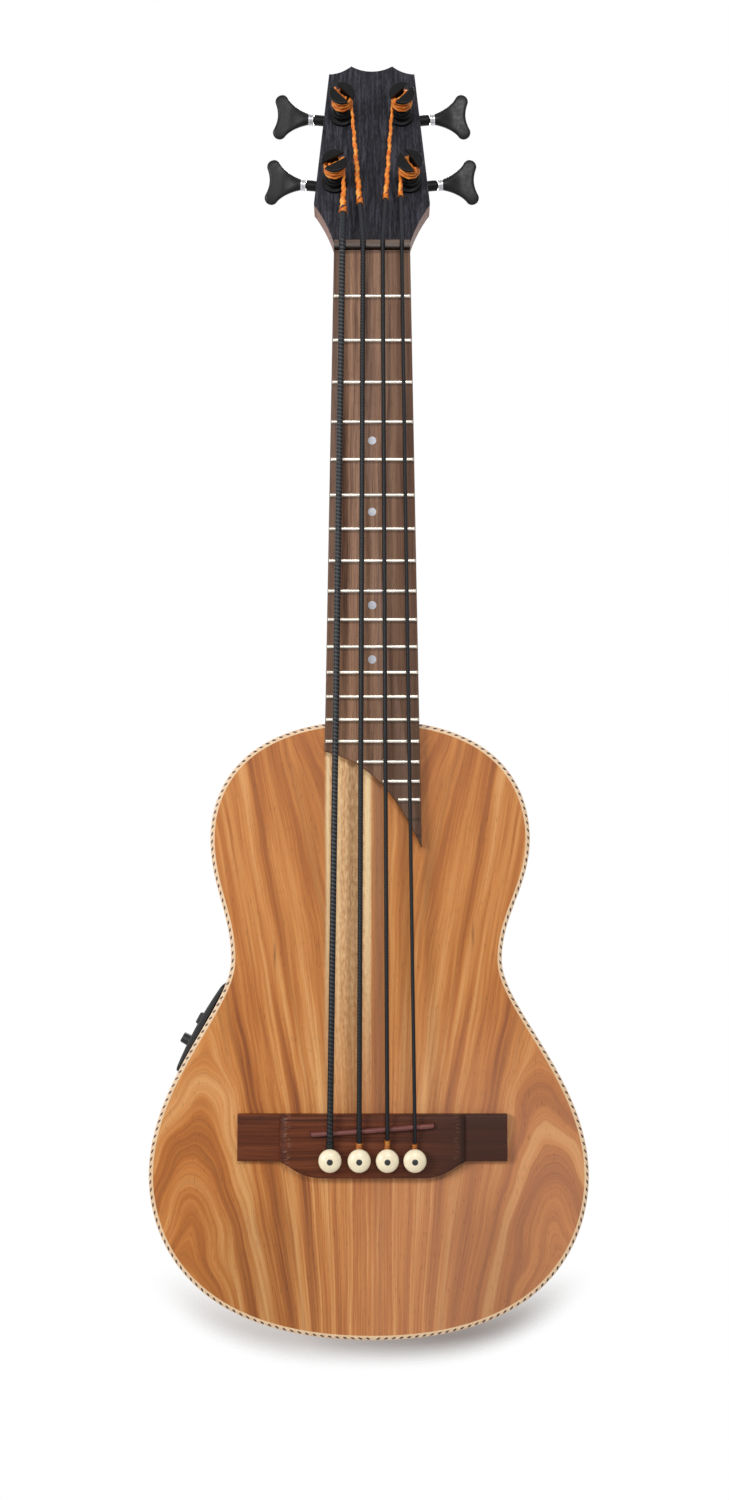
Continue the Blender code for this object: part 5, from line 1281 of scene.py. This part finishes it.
def make_saddle(mats):
    """Bar with a rounded crest that drops away at its ends."""
    half = SADDLE_LENGTH / 2
    width = SADDLE_WIDTH / 2
    crest = FACE_Y - STRING_RISE_SADDLE - BRIDGE_FACE_Y
    rings = []
    for x in np.concatenate([[-half], -half + np.array([0.0003, 0.001, 0.002, 0.004]),
                             np.linspace(-half + 0.006, half - 0.006, 13),
                             half - np.array([0.004, 0.002, 0.001, 0.0003]), [half]]):
        near = min(1.0, (half - abs(x)) / 0.004)
        dip = 0.0016 * (1 - math.sqrt(1 - (1 - near) ** 2))
        slim = width * (0.72 + 0.28 * math.sqrt(1 - (1 - min(1.0, near * 3)) ** 2))
        arc = [(-slim * math.cos(a), crest + dip + width * (1 - math.sin(a)))
               for a in np.linspace(0.0, math.pi, 15)]
        rings.append([(x, y + GAP, z) for z, y in
                      [(-slim, SADDLE_SEAT - GAP)] + arc + [(slim, SADDLE_SEAT - GAP)]])
    settle(raw("saddle_bar", *moved(saddle_frame(), skin(rings))), mats["saddle"],
           replaces=("saddle",))


def make_pins(mats):
    """Mushroom heads with a soft step round a domed middle and a black eye."""
    base = max(STRING_DIAMETERS) + 3 * GAP
    r = PIN_HEAD_RADIUS
    h = PIN_HEAD_HEIGHT
    shank_end = -BRIDGE_HEIGHT - PLATE_THICKNESS
    dome = [(r * math.sin(a), base + h * (0.30 + 0.70 * math.cos(a)))
            for a in np.linspace(0.0, math.pi / 2, 17)]
    rim = [(r * (1 - 0.06 * t ** 2), base + 0.30 * h * (1 - t)) for t in (0.3, 0.6, 0.85, 1.0)]
    shank = [(PIN_SHANK_RADIUS, base), (PIN_SHANK_RADIUS, 0.0),
             (PIN_SHANK_RADIUS * 0.88, shank_end), (0.0, shank_end)]
    eye = 0.00195
    for i, x in enumerate(string_places(STRING_SPAN_SADDLE)):
        place = (Matrix.Translation((x, BRIDGE_FACE_Y, -SADDLE_AT - PIN_OFFSET))
                 @ Matrix.Rotation(math.pi / 2, 4, "X"))
        lean = place @ pin_lean(base)
        pin = raw("pin_%d" % (i + 1), *joined(moved(lean, turned(dome + rim + [(0.0, base)])),
                                              moved(place, turned([(0.0, base)] + shank))))
        settle(pin, mats["ivory"], replaces=("bridge_pin_%d" % (i + 1),))
        top = base + h
        profile = [(0.0, top + 0.00012), (0.7 * eye, top + 0.00008), (eye, top - 0.00018),
                   (eye, top - 0.0012), (0.0, top - 0.0012)]
        settle(raw("pin_eye_%d" % (i + 1), *moved(lean, turned(profile))), mats["eye"])


def pin_lean(base):
    """Shear that leans a pin's head towards the tail, from its seat up."""
    shear = Matrix.Identity(4)
    shear[1][2] = -PIN_LEAN
    shear[1][3] = PIN_LEAN * base
    return shear


# Tuning machines

def key_edges():
    """Inner and outer edge of the key's paddle: distance along the shaft by height."""
    lobe_x = KEY_LENGTH - KEY_LOBE_RADIUS
    lobe_y = KEY_HALF_HEIGHT - KEY_LOBE_RADIUS
    start = math.radians(155.0)
    end = math.radians(-15.0)
    neck_half = 0.92 * RING_RADIUS
    join = (lobe_x + KEY_LOBE_RADIUS * math.cos(start), lobe_y + KEY_LOBE_RADIUS * math.sin(start))
    inner = bezier((0.0, neck_half), (0.20 * KEY_LENGTH, 1.35 * neck_half),
                   (0.47 * KEY_LENGTH, 0.50 * KEY_HALF_HEIGHT), join, 40)
    inner += [(lobe_x + KEY_LOBE_RADIUS * math.cos(a), lobe_y + KEY_LOBE_RADIUS * math.sin(a))
              for a in np.linspace(start, math.pi / 2, 16)]
    outer = [(lobe_x + KEY_LOBE_RADIUS * math.cos(a), lobe_y + KEY_LOBE_RADIUS * math.sin(a))
             for a in np.linspace(math.pi / 2, end, 30)]
    last = outer[-1]
    hollow = KEY_LENGTH - KEY_HOLLOW
    outer += bezier(last, (hollow + 0.25 * KEY_HOLLOW, 0.60 * last[1]),
                    (hollow, 0.30 * last[1]), (hollow, 0.0), 20) + [(hollow, 0.0)]
    return np.array(inner), np.array(outer)[::-1]


def key_paddle():
    """Paddle that starts round at the shaft and spreads into two flat lobes."""
    inner, outer = key_edges()
    crest = np.concatenate([inner, outer[::-1][:16]])
    rings = []
    rows = [KEY_HALF_HEIGHT * math.sin(math.pi / 2 * i / 26) for i in range(-26, 27)]
    shares = [0.5 - 0.5 * math.cos(math.pi * i / 30) for i in range(31)]
    for y in rows:
        low = float(np.interp(abs(y), inner[:, 1], inner[:, 0], left=0.0))
        high = float(np.interp(abs(y), outer[:, 1], outer[:, 0]))
        front = []
        for share in shares:
            x = low + (high - low) * share
            front.append((x, key_thickness(x, y, high, crest)))
        ring = [(x, y, t) for x, t in front] + [(x, y, -t) for x, t in reversed(front)]
        rings.append(ring)
    return skin(rings)


def key_thickness(x, y, high, crest):
    """Half the paddle's thickness at a place."""
    order = np.argsort(crest[:, 0])
    reach = float(np.interp(x, crest[order, 0], crest[order, 1]))
    spread = min(max(x / 0.0125, 0.0), 1.0)
    spread = spread * spread * (3 - 2 * spread)
    power = 2.0 + 2.2 * spread
    size = 0.0033 + (0.00155 - 0.0033) * spread
    inside = max(0.0, 1.0 - (abs(y) / reach) ** power) ** (1 / power)
    near = min(1.0, max(0.0, (high - x) / 0.0016))
    return size * inside * math.sqrt(1 - (1 - near) ** 2)


def make_key(name, mats):
    """Key with its shaft, two bright rings with a groove between, and the paddle."""
    side = MACHINES[name][0]
    axis = machine_frame(name) @ Matrix.Translation((0.0, side * WORM_OFFSET, -SHAFT_DEPTH))
    along = axis @ Matrix.Rotation(math.pi / 2, 4, "Y")
    start = SLEEVE_END + GAP
    end = start + RING_LENGTH
    shaft = turned([(0.0, end), (SHAFT_RADIUS, end), (SHAFT_RADIUS, -0.0068), (0.0, -0.0068)])
    tilt = axis @ Matrix.Rotation(side * KEY_REST_TILT, 4, "X")
    paddle = moved(tilt @ Matrix.Translation((end, 0.0, 0.0)), key_paddle())
    worm = worm_shape(side)
    obj = raw("peg_" + name, *joined(moved(along, shaft), paddle, moved(axis, worm)))
    settle(obj, mats["key"], body="key_" + name,
           replaces=("key_" + name,))
    r = RING_RADIUS
    soft = 0.00025
    profile = [(0.0, start), (r - soft, start), (r, start + soft),
               (r, start + 0.0011), (r - 0.0002, start + 0.0013), (r - 0.0004, start + 0.0014),
               (r - 0.0004, start + 0.0018), (r - 0.0002, start + 0.0019),
               (r, start + 0.0021), (r, end - soft), (r - soft, end), (0.0, end)]
    ring = raw("rings_" + name, *moved(along, turned(profile)))
    settle(ring, mats["chrome"], body="key_" + name)


def worm_shape(side):
    """The worm's thread along X, hidden in its housing."""
    module = 0.0006
    pitch = math.pi * module
    radius = 0.0033
    root = radius - 1.2 * module - 0.0004
    rings = []
    for i in range(3 * 20 + 1):
        turn = i / 20 - 1.5
        angle = (math.pi if side > 0 else 0.0) + 2 * math.pi * turn
        ring = []
        for height, flank in ((root - radius, -1), (0.92 * module, -1), (0.92 * module, 1),
                              (root - radius, 1)):
            half = pitch / 4 - 0.00012 - math.tan(math.radians(19.0)) * height
            r = radius + height
            ring.append((pitch * turn + flank * half, r * math.cos(angle), r * math.sin(angle)))
        rings.append(ring)
    core = moved(Matrix.Rotation(math.pi / 2, 4, "Y"),
                 turned([(0.0, -0.0038), (0.00258, -0.0038), (0.00258, 0.0038), (0.0, 0.0038)]))
    return joined(skin(rings), core)


def make_post(name, mats):
    """Post with a slotted cap, and the end of the string that lies in the slot."""
    frame_of = machine_frame(name)
    top = POST_HEIGHT
    under = top - CAP_THICKNESS
    r = CAP_RADIUS
    profile = [(0.0, top), (r - 0.0009, top), (r - 0.0005, top - 0.00008),
               (r - 0.00015, top - 0.0003), (r, top - 0.0006), (r, under + 0.0003),
               (r - 0.0003, under), (SPOOL_RADIUS + 0.0006, under), (SPOOL_RADIUS, under - 0.0006),
               (SPOOL_RADIUS, BUSHING_HEIGHT + 0.0008),
               (SPOOL_RADIUS + 0.0006, BUSHING_HEIGHT + GAP), (POST_RADIUS, BUSHING_HEIGHT + GAP),
               (POST_RADIUS, -0.0209), (POST_RADIUS / 2, -0.0209), (POST_RADIUS / 2, -0.0240),
               (0.0, -0.0240)]
    post = raw("spool_" + name, *moved(frame_of, turned(profile, 64)))
    slot_turn = frame_of @ Matrix.Rotation(math.radians(SLOT_ANGLES[name]), 4, "Z")
    half = CAP_SLOT_WIDTH / 2
    slot = raw("slot", *moved(slot_turn, box((-0.02, -half, top - CAP_SLOT_DEPTH),
                                             (0.02, half, top + 0.01))))
    carve(post, slot)
    wheel = turned([(0.0, -0.0166), (0.0058, -0.0166), (0.0058, -0.0206), (0.0, -0.0206)])
    shape = raw("wheel", *moved(frame_of, wheel))
    carve(post, shape, operation="UNION")
    body = "post_" + name
    settle(post, mats["black"], body=body, replaces=(body,), sharp=30.0)
    end = -1 if name in ("bass_upper", "treble_lower") else 1
    low = top - CAP_SLOT_DEPTH + 0.0012
    path = [(-end * 0.0070, 0.0, low - 0.0006), (-end * 0.0067, 0.0, low + 0.0010),
            (-end * 0.0058, 0.0002, low + 0.0018), (-end * 0.0048, 0.0004, low + 0.0008),
            (-end * 0.0034, 0.0002, low - 0.0002), (end * 0.0008, -0.0002, low - 0.0002),
            (end * 0.0022, -0.0002, low + 0.0002), (end * 0.0030, 0.0, low + 0.0014),
            (end * 0.0036, 0.0003, low + 0.0020)]
    points = spaced(path, 0.0003)
    radii = [0.0009] * len(points)
    verts, faces, uvs = tube(points, radii, 16, strands)
    tail = raw("string_end_" + name, [slot_turn @ v for v in verts], faces, uvs)
    settle(tail, mats["silk"], body=body)


def make_bushing(name, mats):
    """Washer with a turned edge, round nut with a groove, and the barrel."""
    bore = POST_RADIUS + GAP
    top = BUSHING_HEIGHT
    low = GAP + WASHER_THICKNESS
    r = BUSHING_RADIUS
    w = WASHER_RADIUS
    profile = [(bore, top - 0.0003), (bore + 0.0003, top), (r - 0.0012, top),
               (r - 0.0005, top - 0.0002), (r - 0.0001, top - 0.0007), (r, top - 0.0012),
               (r, low + 0.0012), (r - 0.0003, low + 0.0010), (r - 0.0003, low + 0.0003),
               (r + 0.0002, low), (w - 0.0006, low), (w - 0.0001, low - 0.0003),
               (w, low - 0.0007), (w, GAP), (BARREL_RADIUS, GAP),
               (BARREL_RADIUS, -HEAD_THICKNESS), (bore, -HEAD_THICKNESS)]
    obj = raw("collar_" + name, *moved(machine_frame(name), turned(profile, 64, ring=True)))
    settle(obj, mats["black"], replaces=("bushing_" + name,))


def make_housing(name, mats):
    """Rounded gear cover behind the headstock, with the sleeve of the key's shaft."""
    side = MACHINES[name][0]
    half = WHEEL_TIP + 0.0006
    low = (-half, -half) if side > 0 else (-half, -HOUSING_TIP)
    high = (half, HOUSING_TIP) if side > 0 else (half, half)
    wall = HOUSING_WALL
    outer = rounded_rectangle((low[0] - wall, low[1] - wall), (high[0] + wall, high[1] + wall),
                              HOUSING_CORNER)
    top = -HEAD_THICKNESS - GAP
    floor = HOUSING_FLOOR - wall
    round_off = 0.0022
    levels = [(0.0, top)] + [(round_off * (1 - math.cos(a)), floor + round_off * (1 - math.sin(a)))
                             for a in np.linspace(0.0, math.pi / 2, 7)]
    levels.append((round_off + 0.0003, floor))
    world = machine_frame(name)
    shell = raw("gear_cover_" + name, *slab(outer, levels, world))
    inner = rounded_rectangle(low, high, HOUSING_CORNER - wall)
    carve(shell, raw("hollow", *slab(inner, [(0.0, HOUSING_FLOOR), (0.0, top + 0.01)], world)))
    y = side * WORM_OFFSET
    start = high[0] + wall / 2
    along = world @ Matrix.Translation((0.0, y, -SHAFT_DEPTH)) @ Matrix.Rotation(
        math.pi / 2, 4, "Y")
    r = SLEEVE_RADIUS
    bore = SHAFT_RADIUS + GAP
    sleeve = turned([(bore, start), (r + 0.0012, start), (r + 0.0006, start + 0.0004),
                     (r, start + 0.0012), (r, SLEEVE_END - 0.0003), (r - 0.0003, SLEEVE_END),
                     (bore, SLEEVE_END)], 48, ring=True)
    pipe = raw("pipe", *moved(along, sleeve))
    drill = raw("drill", *moved(along, turned([(bore, 0.0), (bore, SLEEVE_END + 0.01)], 32)))
    carve(shell, drill)
    carve(shell, pipe, operation="UNION")
    settle(shell, mats["black"], replaces=("housing_" + name,), sharp=30.0)


# Strings

def arc_between(previous, corner, following, radius, steps=10):
    """Round a corner of a path."""
    a = (previous - corner).normalized()
    b = (following - corner).normalized()
    half = a.angle(b) / 2
    centre = corner + (a + b).normalized() * (radius / math.sin(half))
    first = corner + a * (radius / math.tan(half)) - centre
    last = corner + b * (radius / math.tan(half)) - centre
    return [centre + first.length * first.slerp(last, i / steps) for i in range(steps + 1)]


def winding(world, side, entry):
    """Centre line of a string's turns, from the lowest up to the cap."""
    wire = SILK_DIAMETER
    local = world.inverted() @ entry
    radius = SPOOL_RADIUS + 1.2 * GAP + wire / 2
    rise = wire + TURN_GAP
    low = POST_HEIGHT - CAP_THICKNESS - 1.5 * GAP - wire / 2 - WINDING_TURNS * rise
    bearing = math.atan2(local.y, local.x)
    offset = math.acos(radius / math.hypot(local.x, local.y))

    def place(angle, height=0.0):
        return Vector((radius * math.cos(angle), radius * math.sin(angle), height))

    inner = min((bearing - offset, bearing + offset),
                key=lambda angle: side * (world @ place(angle)).x)
    start = place(inner)
    heading = (start - Vector((local.x, local.y, 0.0))).normalized()
    sense = 1.0 if start.cross(heading).z > 0 else -1.0
    steps = 72
    return [world @ place(inner + sense * 2 * math.pi * i / steps, low + rise * i / steps)
            for i in range(WINDING_TURNS * steps + 1)]


def strands(angle, length):
    """Two strands twisted together, a little uneven along the thread."""
    twist = math.cos(2 * (angle - 2 * math.pi * length / 0.0085))
    uneven = math.sin(length / 0.0021) + math.sin(length / 0.0013 + 2.0)
    return 1.0 + 0.15 * twist + 0.035 * uneven


def make_string(index, mats):
    """Black string over nut and saddle, its silk up to the post, and silk by the pin."""
    name = STRING_ORDER[index]
    diameter = STRING_DIAMETERS[index]
    radius = diameter / 2
    x_nut = string_places(STRING_SPAN_NUT)[index]
    x_saddle = string_places(STRING_SPAN_SADDLE)[index]
    exit_z = -SADDLE_AT - PIN_OFFSET + PIN_SHANK_RADIUS + GAP + radius
    anchor = Vector((x_saddle, BRIDGE_FACE_Y + STRING_ANCHOR_DEPTH, exit_z))
    mouth = Vector((x_saddle, BRIDGE_FACE_Y - GAP - radius, exit_z))
    crest = Vector((x_saddle, FACE_Y - STRING_RISE_SADDLE - radius, saddle_z(x_saddle)))
    nut_front = Vector((x_nut, FACE_Y - STRING_RISE_NUT - radius, GAP))
    nut_back = Vector((x_nut, FACE_Y - STRING_RISE_NUT - radius, NUT_LENGTH))
    coil = winding(machine_frame(name), MACHINES[name][0], nut_back)
    run = coil[0] - nut_back
    silk_start = nut_back + run * ((SILK_ENDS[index] - NUT_LENGTH) / run.z)
    tail = [anchor] + arc_between(anchor, mouth, crest, 1.05 * radius)
    path = tail + arc_between(mouth, crest, nut_front, 0.0040)
    path += [nut_front, nut_back, silk_start + run.normalized() * 0.004]
    points = spaced(path, 0.0012)
    verts, faces, uvs = tube(points, [radius] * len(points), 16)
    obj = raw("cord_%d" % (index + 1), verts, faces, uvs)
    settle(obj, mats["string_%d" % (index + 1)],
           replaces=("string_%d" % (index + 1),), sharp=60.0)
    make_silk(index, silk_start, coil, mats)
    make_tail_wrap(index, tail, crest, mats)


def make_silk(index, start, coil, mats):
    """Thread from its frayed end up to the post and round it."""
    thick = max(STRING_DIAMETERS[index], SILK_DIAMETER) / 2 + 0.00022
    points = spaced([start] + coil, 0.0006)
    to_post = (coil[0] - start).length
    path = []
    radii = []
    travelled = 0.0
    for i, point in enumerate(points):
        if i:
            travelled += (point - points[i - 1]).length
        free = max(0.0, min(1.0, travelled / 0.010, (to_post - travelled) / 0.006))
        sway = 0.00022 * free
        path.append(point + Vector((sway * math.sin(travelled / 0.0019 + index),
                                    sway * math.cos(travelled / 0.0031), 0.0)))
        share = max(0.0, min(1.0, travelled / to_post))
        radii.append(thick + (COIL_THREAD / 2 - thick) * share)
        radii[-1] *= 1.0 + 0.28 * math.exp(-(travelled / 0.0013) ** 2)
    verts, faces, uvs = tube(path, radii, 20, strands)
    obj = raw("silk_%d" % (index + 1), verts, faces, uvs)
    settle(obj, mats["silk"], sharp=80.0)


def make_tail_wrap(index, tail, crest, mats):
    """Wrapped end of a string between its pin and the saddle."""
    length = (0.0042, 0.0046, 0.0066, 0.0046)[index]
    radius = STRING_DIAMETERS[index] / 2
    path = tail[:-1] + [tail[-1], tail[-1] + (crest - tail[-1]).normalized() * length]
    points = spaced(path, 0.0003)
    pitch = 0.0011
    thick = 0.00045 if index == 0 else 0.00034

    def wraps(angle, run):
        wave = math.sin(angle + 2 * math.pi * run / pitch)
        return 1.0 + (0.12 * wave if index else 0.02 * wave)

    verts, faces, uvs = tube(points, [radius + thick] * len(points), 20, wraps)
    obj = raw("tail_wrap_%d" % (index + 1), verts, faces, uvs)
    settle(obj, mats["wrap" if index else "plastic"], sharp=70.0)


# Preamp and output socket

def preamp_frame():
    """Frame on the bass side: X along the panel to the tail, Y across it, Z outwards."""
    _, normal = outline_place(-1, PREAMP_AT)
    half = PANEL_LENGTH / 2
    first, _ = outline_place(-1, PREAMP_AT - half * abs(normal.x))
    last, _ = outline_place(-1, PREAMP_AT + half * abs(normal.x))
    along = (last - first).normalized()
    outward = Vector((0.0, 1.0, 0.0)).cross(along)
    if outward.x > 0:
        outward.negate()
    turn = Matrix((along, outward.cross(along), outward)).transposed().to_4x4()
    middle = (first + last) / 2
    return Matrix.Translation((middle.x, TOP_Y + BODY_DEPTH / 2, middle.z)) @ turn


def panel_top(x):
    """Height of the panel's crowned face above its back."""
    return PANEL_THICKNESS - PANEL_CROWN * (2 * x / PANEL_LENGTH) ** 2


def panel_ring(x):
    """Section across the panel, narrower and thinner in its rounded corners."""
    past = max(0.0, abs(x) - (PANEL_LENGTH / 2 - PANEL_CORNER))
    round_off = PANEL_CORNER - math.sqrt(max(0.0, PANEL_CORNER ** 2 - past ** 2))
    half = PANEL_WIDTH / 2 - round_off
    bevel = PANEL_BEVEL
    top = panel_top(x) - 0.12 * round_off
    arc = [(half - bevel * (1 - math.cos(a)), top - bevel * (1 - math.sin(a)))
           for a in np.linspace(0.0, math.pi / 2, 6)]
    upper = [(x, y, z) for y, z in arc] + [(x, -y, z) for y, z in reversed(arc)]
    return [(x, half, 0.0)] + upper + [(x, -half, 0.0)]


def make_preamp(world, mats):
    low = PANEL_STAND_OFF
    half = PANEL_LENGTH / 2
    corner = PANEL_CORNER
    ends = [half - corner * (1 - math.cos(a)) for a in np.linspace(0.0, math.pi / 2, 9)]
    stations = ends + [half * t for t in np.linspace(0.85, -0.85, 25)]
    stations += [-x for x in reversed(ends)]
    panel = raw("preamp_panel", *moved(world @ Matrix.Translation((0.0, 0.0, low)),
                                       skin([panel_ring(x) for x in stations])))
    half_x = BOX_LENGTH / 2
    half_y = BOX_WIDTH / 2
    case = raw("case", *moved(world, box((-half_x, -half_y, -BOX_DEPTH),
                                         (half_x, half_y, low + BOX_WALL))))
    hollow = raw("hollow", *moved(world, box(
        (-half_x + BOX_WALL, -half_y + BOX_WALL, -BOX_DEPTH - 0.01),
        (half_x - BOX_WALL, half_y - BOX_WALL, low))))
    shaft = raw("shaft", *moved(world, cylinder(0.0018, (KNOB_OFFSET, 0.0, -0.01),
                                                (KNOB_OFFSET, 0.0, 0.02))))
    reach_x = BUTTON_LENGTH / 2 + GAP
    reach_y = BUTTON_WIDTH / 2 + GAP
    window = raw("window", *moved(world, box((BUTTON_OFFSET - reach_x, -reach_y, -0.01),
                                             (BUTTON_OFFSET + reach_x, reach_y, 0.02))))
    carve(panel, case, operation="UNION")
    carve(panel, hollow, shaft, window)
    settle(panel, mats["plastic"], replaces=("preamp_housing",), sharp=30.0)
    make_knob(world, low + panel_top(KNOB_OFFSET - KNOB_RADIUS), mats)
    make_button(world, low, mats)


def make_knob(world, face, mats):
    """Fluted knob with a pointer line on its top."""
    r = KNOB_RADIUS
    base = face + GAP
    top = base + KNOB_HEIGHT
    steps = 96
    rings = []
    for radius, height, depth in ((0.0, top, 0.0), (0.80 * r, top, 0.0),
                                  (0.90 * r, top - 0.0002, 0.0),
                                  (0.95 * r, top - 0.0006, 0.6), (0.98 * r, base + 0.0008, 1.0),
                                  (r, base + 0.0005, 0.0), (r, base, 0.0),
                                  (0.0015, base, 0.0), (0.0015, base - 0.0070, 0.0),
                                  (0.0, base - 0.0070, 0.0)):
        ring = []
        for i in range(steps):
            angle = 2 * math.pi * i / steps
            size = radius * (1 - 0.035 * depth * max(0.0, math.cos(24 * angle)))
            ring.append((size * math.cos(angle), size * math.sin(angle), height))
        rings.append(ring)
    place = world @ Matrix.Translation((KNOB_OFFSET, 0.0, 0.0))
    knob = raw("knob_cap", *moved(place, skin(rings)))
    settle(knob, mats["plastic"], body="volume_knob", replaces=("volume_knob",),
           sharp=40.0)
    pointer = slab(rounded_rectangle((0.0006, -0.00028), (0.76 * r, 0.00028), 0.0002, 3),
                   [(0.0, top - 0.0002), (0.0, top + 0.00006)], place)
    settle(raw("knob_pointer", *pointer), mats["mark"], body="volume_knob")


def make_button(world, low, mats):
    half_x = BUTTON_LENGTH / 2
    half_y = BUTTON_WIDTH / 2
    top = PANEL_THICKNESS + BUTTON_PROUD
    rim = 0.0010
    levels = [(-GAP - rim, -rim), (-GAP, -rim), (-GAP, 0.0), (top - 0.0012, 0.0)]
    levels += [(top - 0.0012 * (1 - math.sin(a)), 0.0012 * (1 - math.cos(a)))
               for a in np.linspace(0.0, math.pi / 2, 7)[1:]]
    rings = [[(x, y, height) for x, y in rounded_rectangle(
        (-half_x + inset, -half_y + inset), (half_x - inset, half_y - inset),
        max(0.0003, 0.0012 - inset), 6)] for height, inset in levels]
    place = world @ Matrix.Translation((BUTTON_OFFSET, 0.0, low))
    settle(raw("button_cap", *moved(place, skin(rings))), mats["plastic"], body="push_button",
           replaces=("push_button",))


def make_jack(mats):
    """Socket with a flanged nut and a rounded mouth."""
    low = -GAP - JACK_FLANGE_THICKNESS
    flange = JACK_FLANGE_RADIUS
    barrel = JACK_BARREL_RADIUS
    bore = JACK_BORE_RADIUS
    profile = [(0.0, JACK_BARREL_LENGTH), (barrel, JACK_BARREL_LENGTH), (barrel, -GAP),
               (flange, -GAP), (flange, low + 0.0008), (flange - 0.0002, low + 0.0003),
               (flange - 0.0007, low + 0.0001), (flange - 0.0014, low), (bore + 0.0006, low),
               (bore + 0.0002, low + 0.0002), (bore, low + 0.0006),
               (bore, low + JACK_BORE_DEPTH), (0.0, low + JACK_BORE_DEPTH)]
    place = Matrix.Translation((0.0, TOP_Y + BODY_DEPTH / 2, -BODY_END))
    settle(raw("socket", *moved(place, turned(profile, 64))), mats["chrome"],
           replaces=("output_jack",))


# Stage, lights and camera

def area_light(name, place, target, size, power):
    light = bpy.data.lights.new(name, "AREA")
    light.shape = "RECTANGLE"
    light.size, light.size_y = size
    light.energy = power
    obj = bpy.data.objects.new(name, light)
    bpy.context.scene.collection.objects.link(obj)
    obj.location = place
    obj.rotation_euler = (Vector(target) - Vector(place)).to_track_quat("-Z", "Y").to_euler()


def make_backdrop():
    """Pale wall behind the tail, which takes the soft shadow and fades out round it.

    It shows from the front only, so the sides and the back can be seen and lit.
    """
    y = BACK_Y + 0.002
    side = 0.25
    top, bottom = -0.50, -0.78
    obj = raw("backdrop", [(-side, y, bottom), (side, y, bottom), (side, y, top), (-side, y, top)],
              [(0, 1, 2, 3)])
    p = Paint("backdrop_paint")
    x, _, z = p.place()
    grain = p.noise(*(p.product(axis, 60.0) for axis in (x, z)), 0.0)
    p.finish(p.ramp(grain, (0.3, (0.93, 0.93, 0.93)), (0.7, (0.95, 0.95, 0.95))), 0.9)
    across = p.math("ABSOLUTE", p.math("DIVIDE", p.math("ADD", x, 0.002), 0.1385))
    down = p.math("ABSOLUTE", p.math("DIVIDE", p.math("ADD", z, LOWER_BOUT_AT), 0.1132))
    away = p.math("POWER", p.sum(p.math("POWER", across, 2.5), p.math("POWER", down, 2.5)), 0.4)
    near = p.product(p.level(z, -0.622, -0.668), p.level(away, 1.17, 1.01))
    facing = p.node("ShaderNodeLayerWeight", Blend=0.5).outputs["Facing"]
    faced = p.math("SUBTRACT", 1.0, p.node("ShaderNodeNewGeometry").outputs["Backfacing"])
    front = p.product(faced, p.level(facing, 0.9, 0.7))
    clear = p.node("ShaderNodeBsdfTransparent")
    blend = p.node("ShaderNodeMixShader", Fac=p.product(p.seen(), front, near))
    p.tree.links.new(clear.outputs[0], blend.inputs[1])
    p.tree.links.new(p.shader.outputs[0], blend.inputs[2])
    output = p.tree.nodes["Material Output"]
    p.tree.links.new(blend.outputs[0], output.inputs[0])
    obj.data.materials.append(p.material)


def make_lights():
    world = bpy.data.worlds.new("studio")
    bpy.context.scene.world = world
    world.use_nodes = True
    p = Paint.on(world.node_tree)
    background = p.tree.nodes["Background"]
    background.inputs["Color"].default_value = (1.0, 1.0, 1.0, 1.0)
    light = 0.36
    p.feed(background.inputs["Strength"], p.math("MULTIPLY_ADD", p.seen(), 1.0 - light, light))
    middle = (0.0, 0.0, -0.38)
    area_light("key_light", (-1.25, -1.45, 0.0), middle, (0.6, 0.6), 17.5)
    area_light("front_light", (0.12, -1.6, 0.32), middle, (0.6, 0.3), 9.0)
    area_light("back_light", (0.0, 1.4, 1.0), middle, (0.8, 0.8), 20.0)


def make_camera():
    """The photograph's camera: level with the body's upper half, tilted up a little."""
    frame_height = 1500
    focal = 1700
    camera = bpy.data.cameras.new("camera")
    camera.lens = camera.sensor_width * focal / frame_height
    obj = bpy.data.objects.new("camera", camera)
    bpy.context.scene.collection.objects.link(obj)
    obj.location = (-0.0046, -1.0087 + FACE_Y, -0.3908)
    obj.rotation_euler = (math.radians(90 + 4.772), 0.0, 0.0)
    bpy.context.scene.camera = obj


def build():
    mats = make_materials()
    panel = preamp_frame()
    make_body(mats, panel)
    make_neck(mats)
    make_fretboard(mats)
    make_nut(mats)
    make_bridge(mats)
    make_saddle(mats)
    make_pins(mats)
    for name in MACHINES:
        make_housing(name, mats)
        make_bushing(name, mats)
        make_post(name, mats)
        make_key(name, mats)
    for index in range(len(STRING_ORDER)):
        make_string(index, mats)
    make_preamp(panel, mats)
    make_jack(mats)
    make_backdrop()
    make_lights()
    make_camera()
    bpy.context.scene.view_settings.view_transform = "Standard"


build()
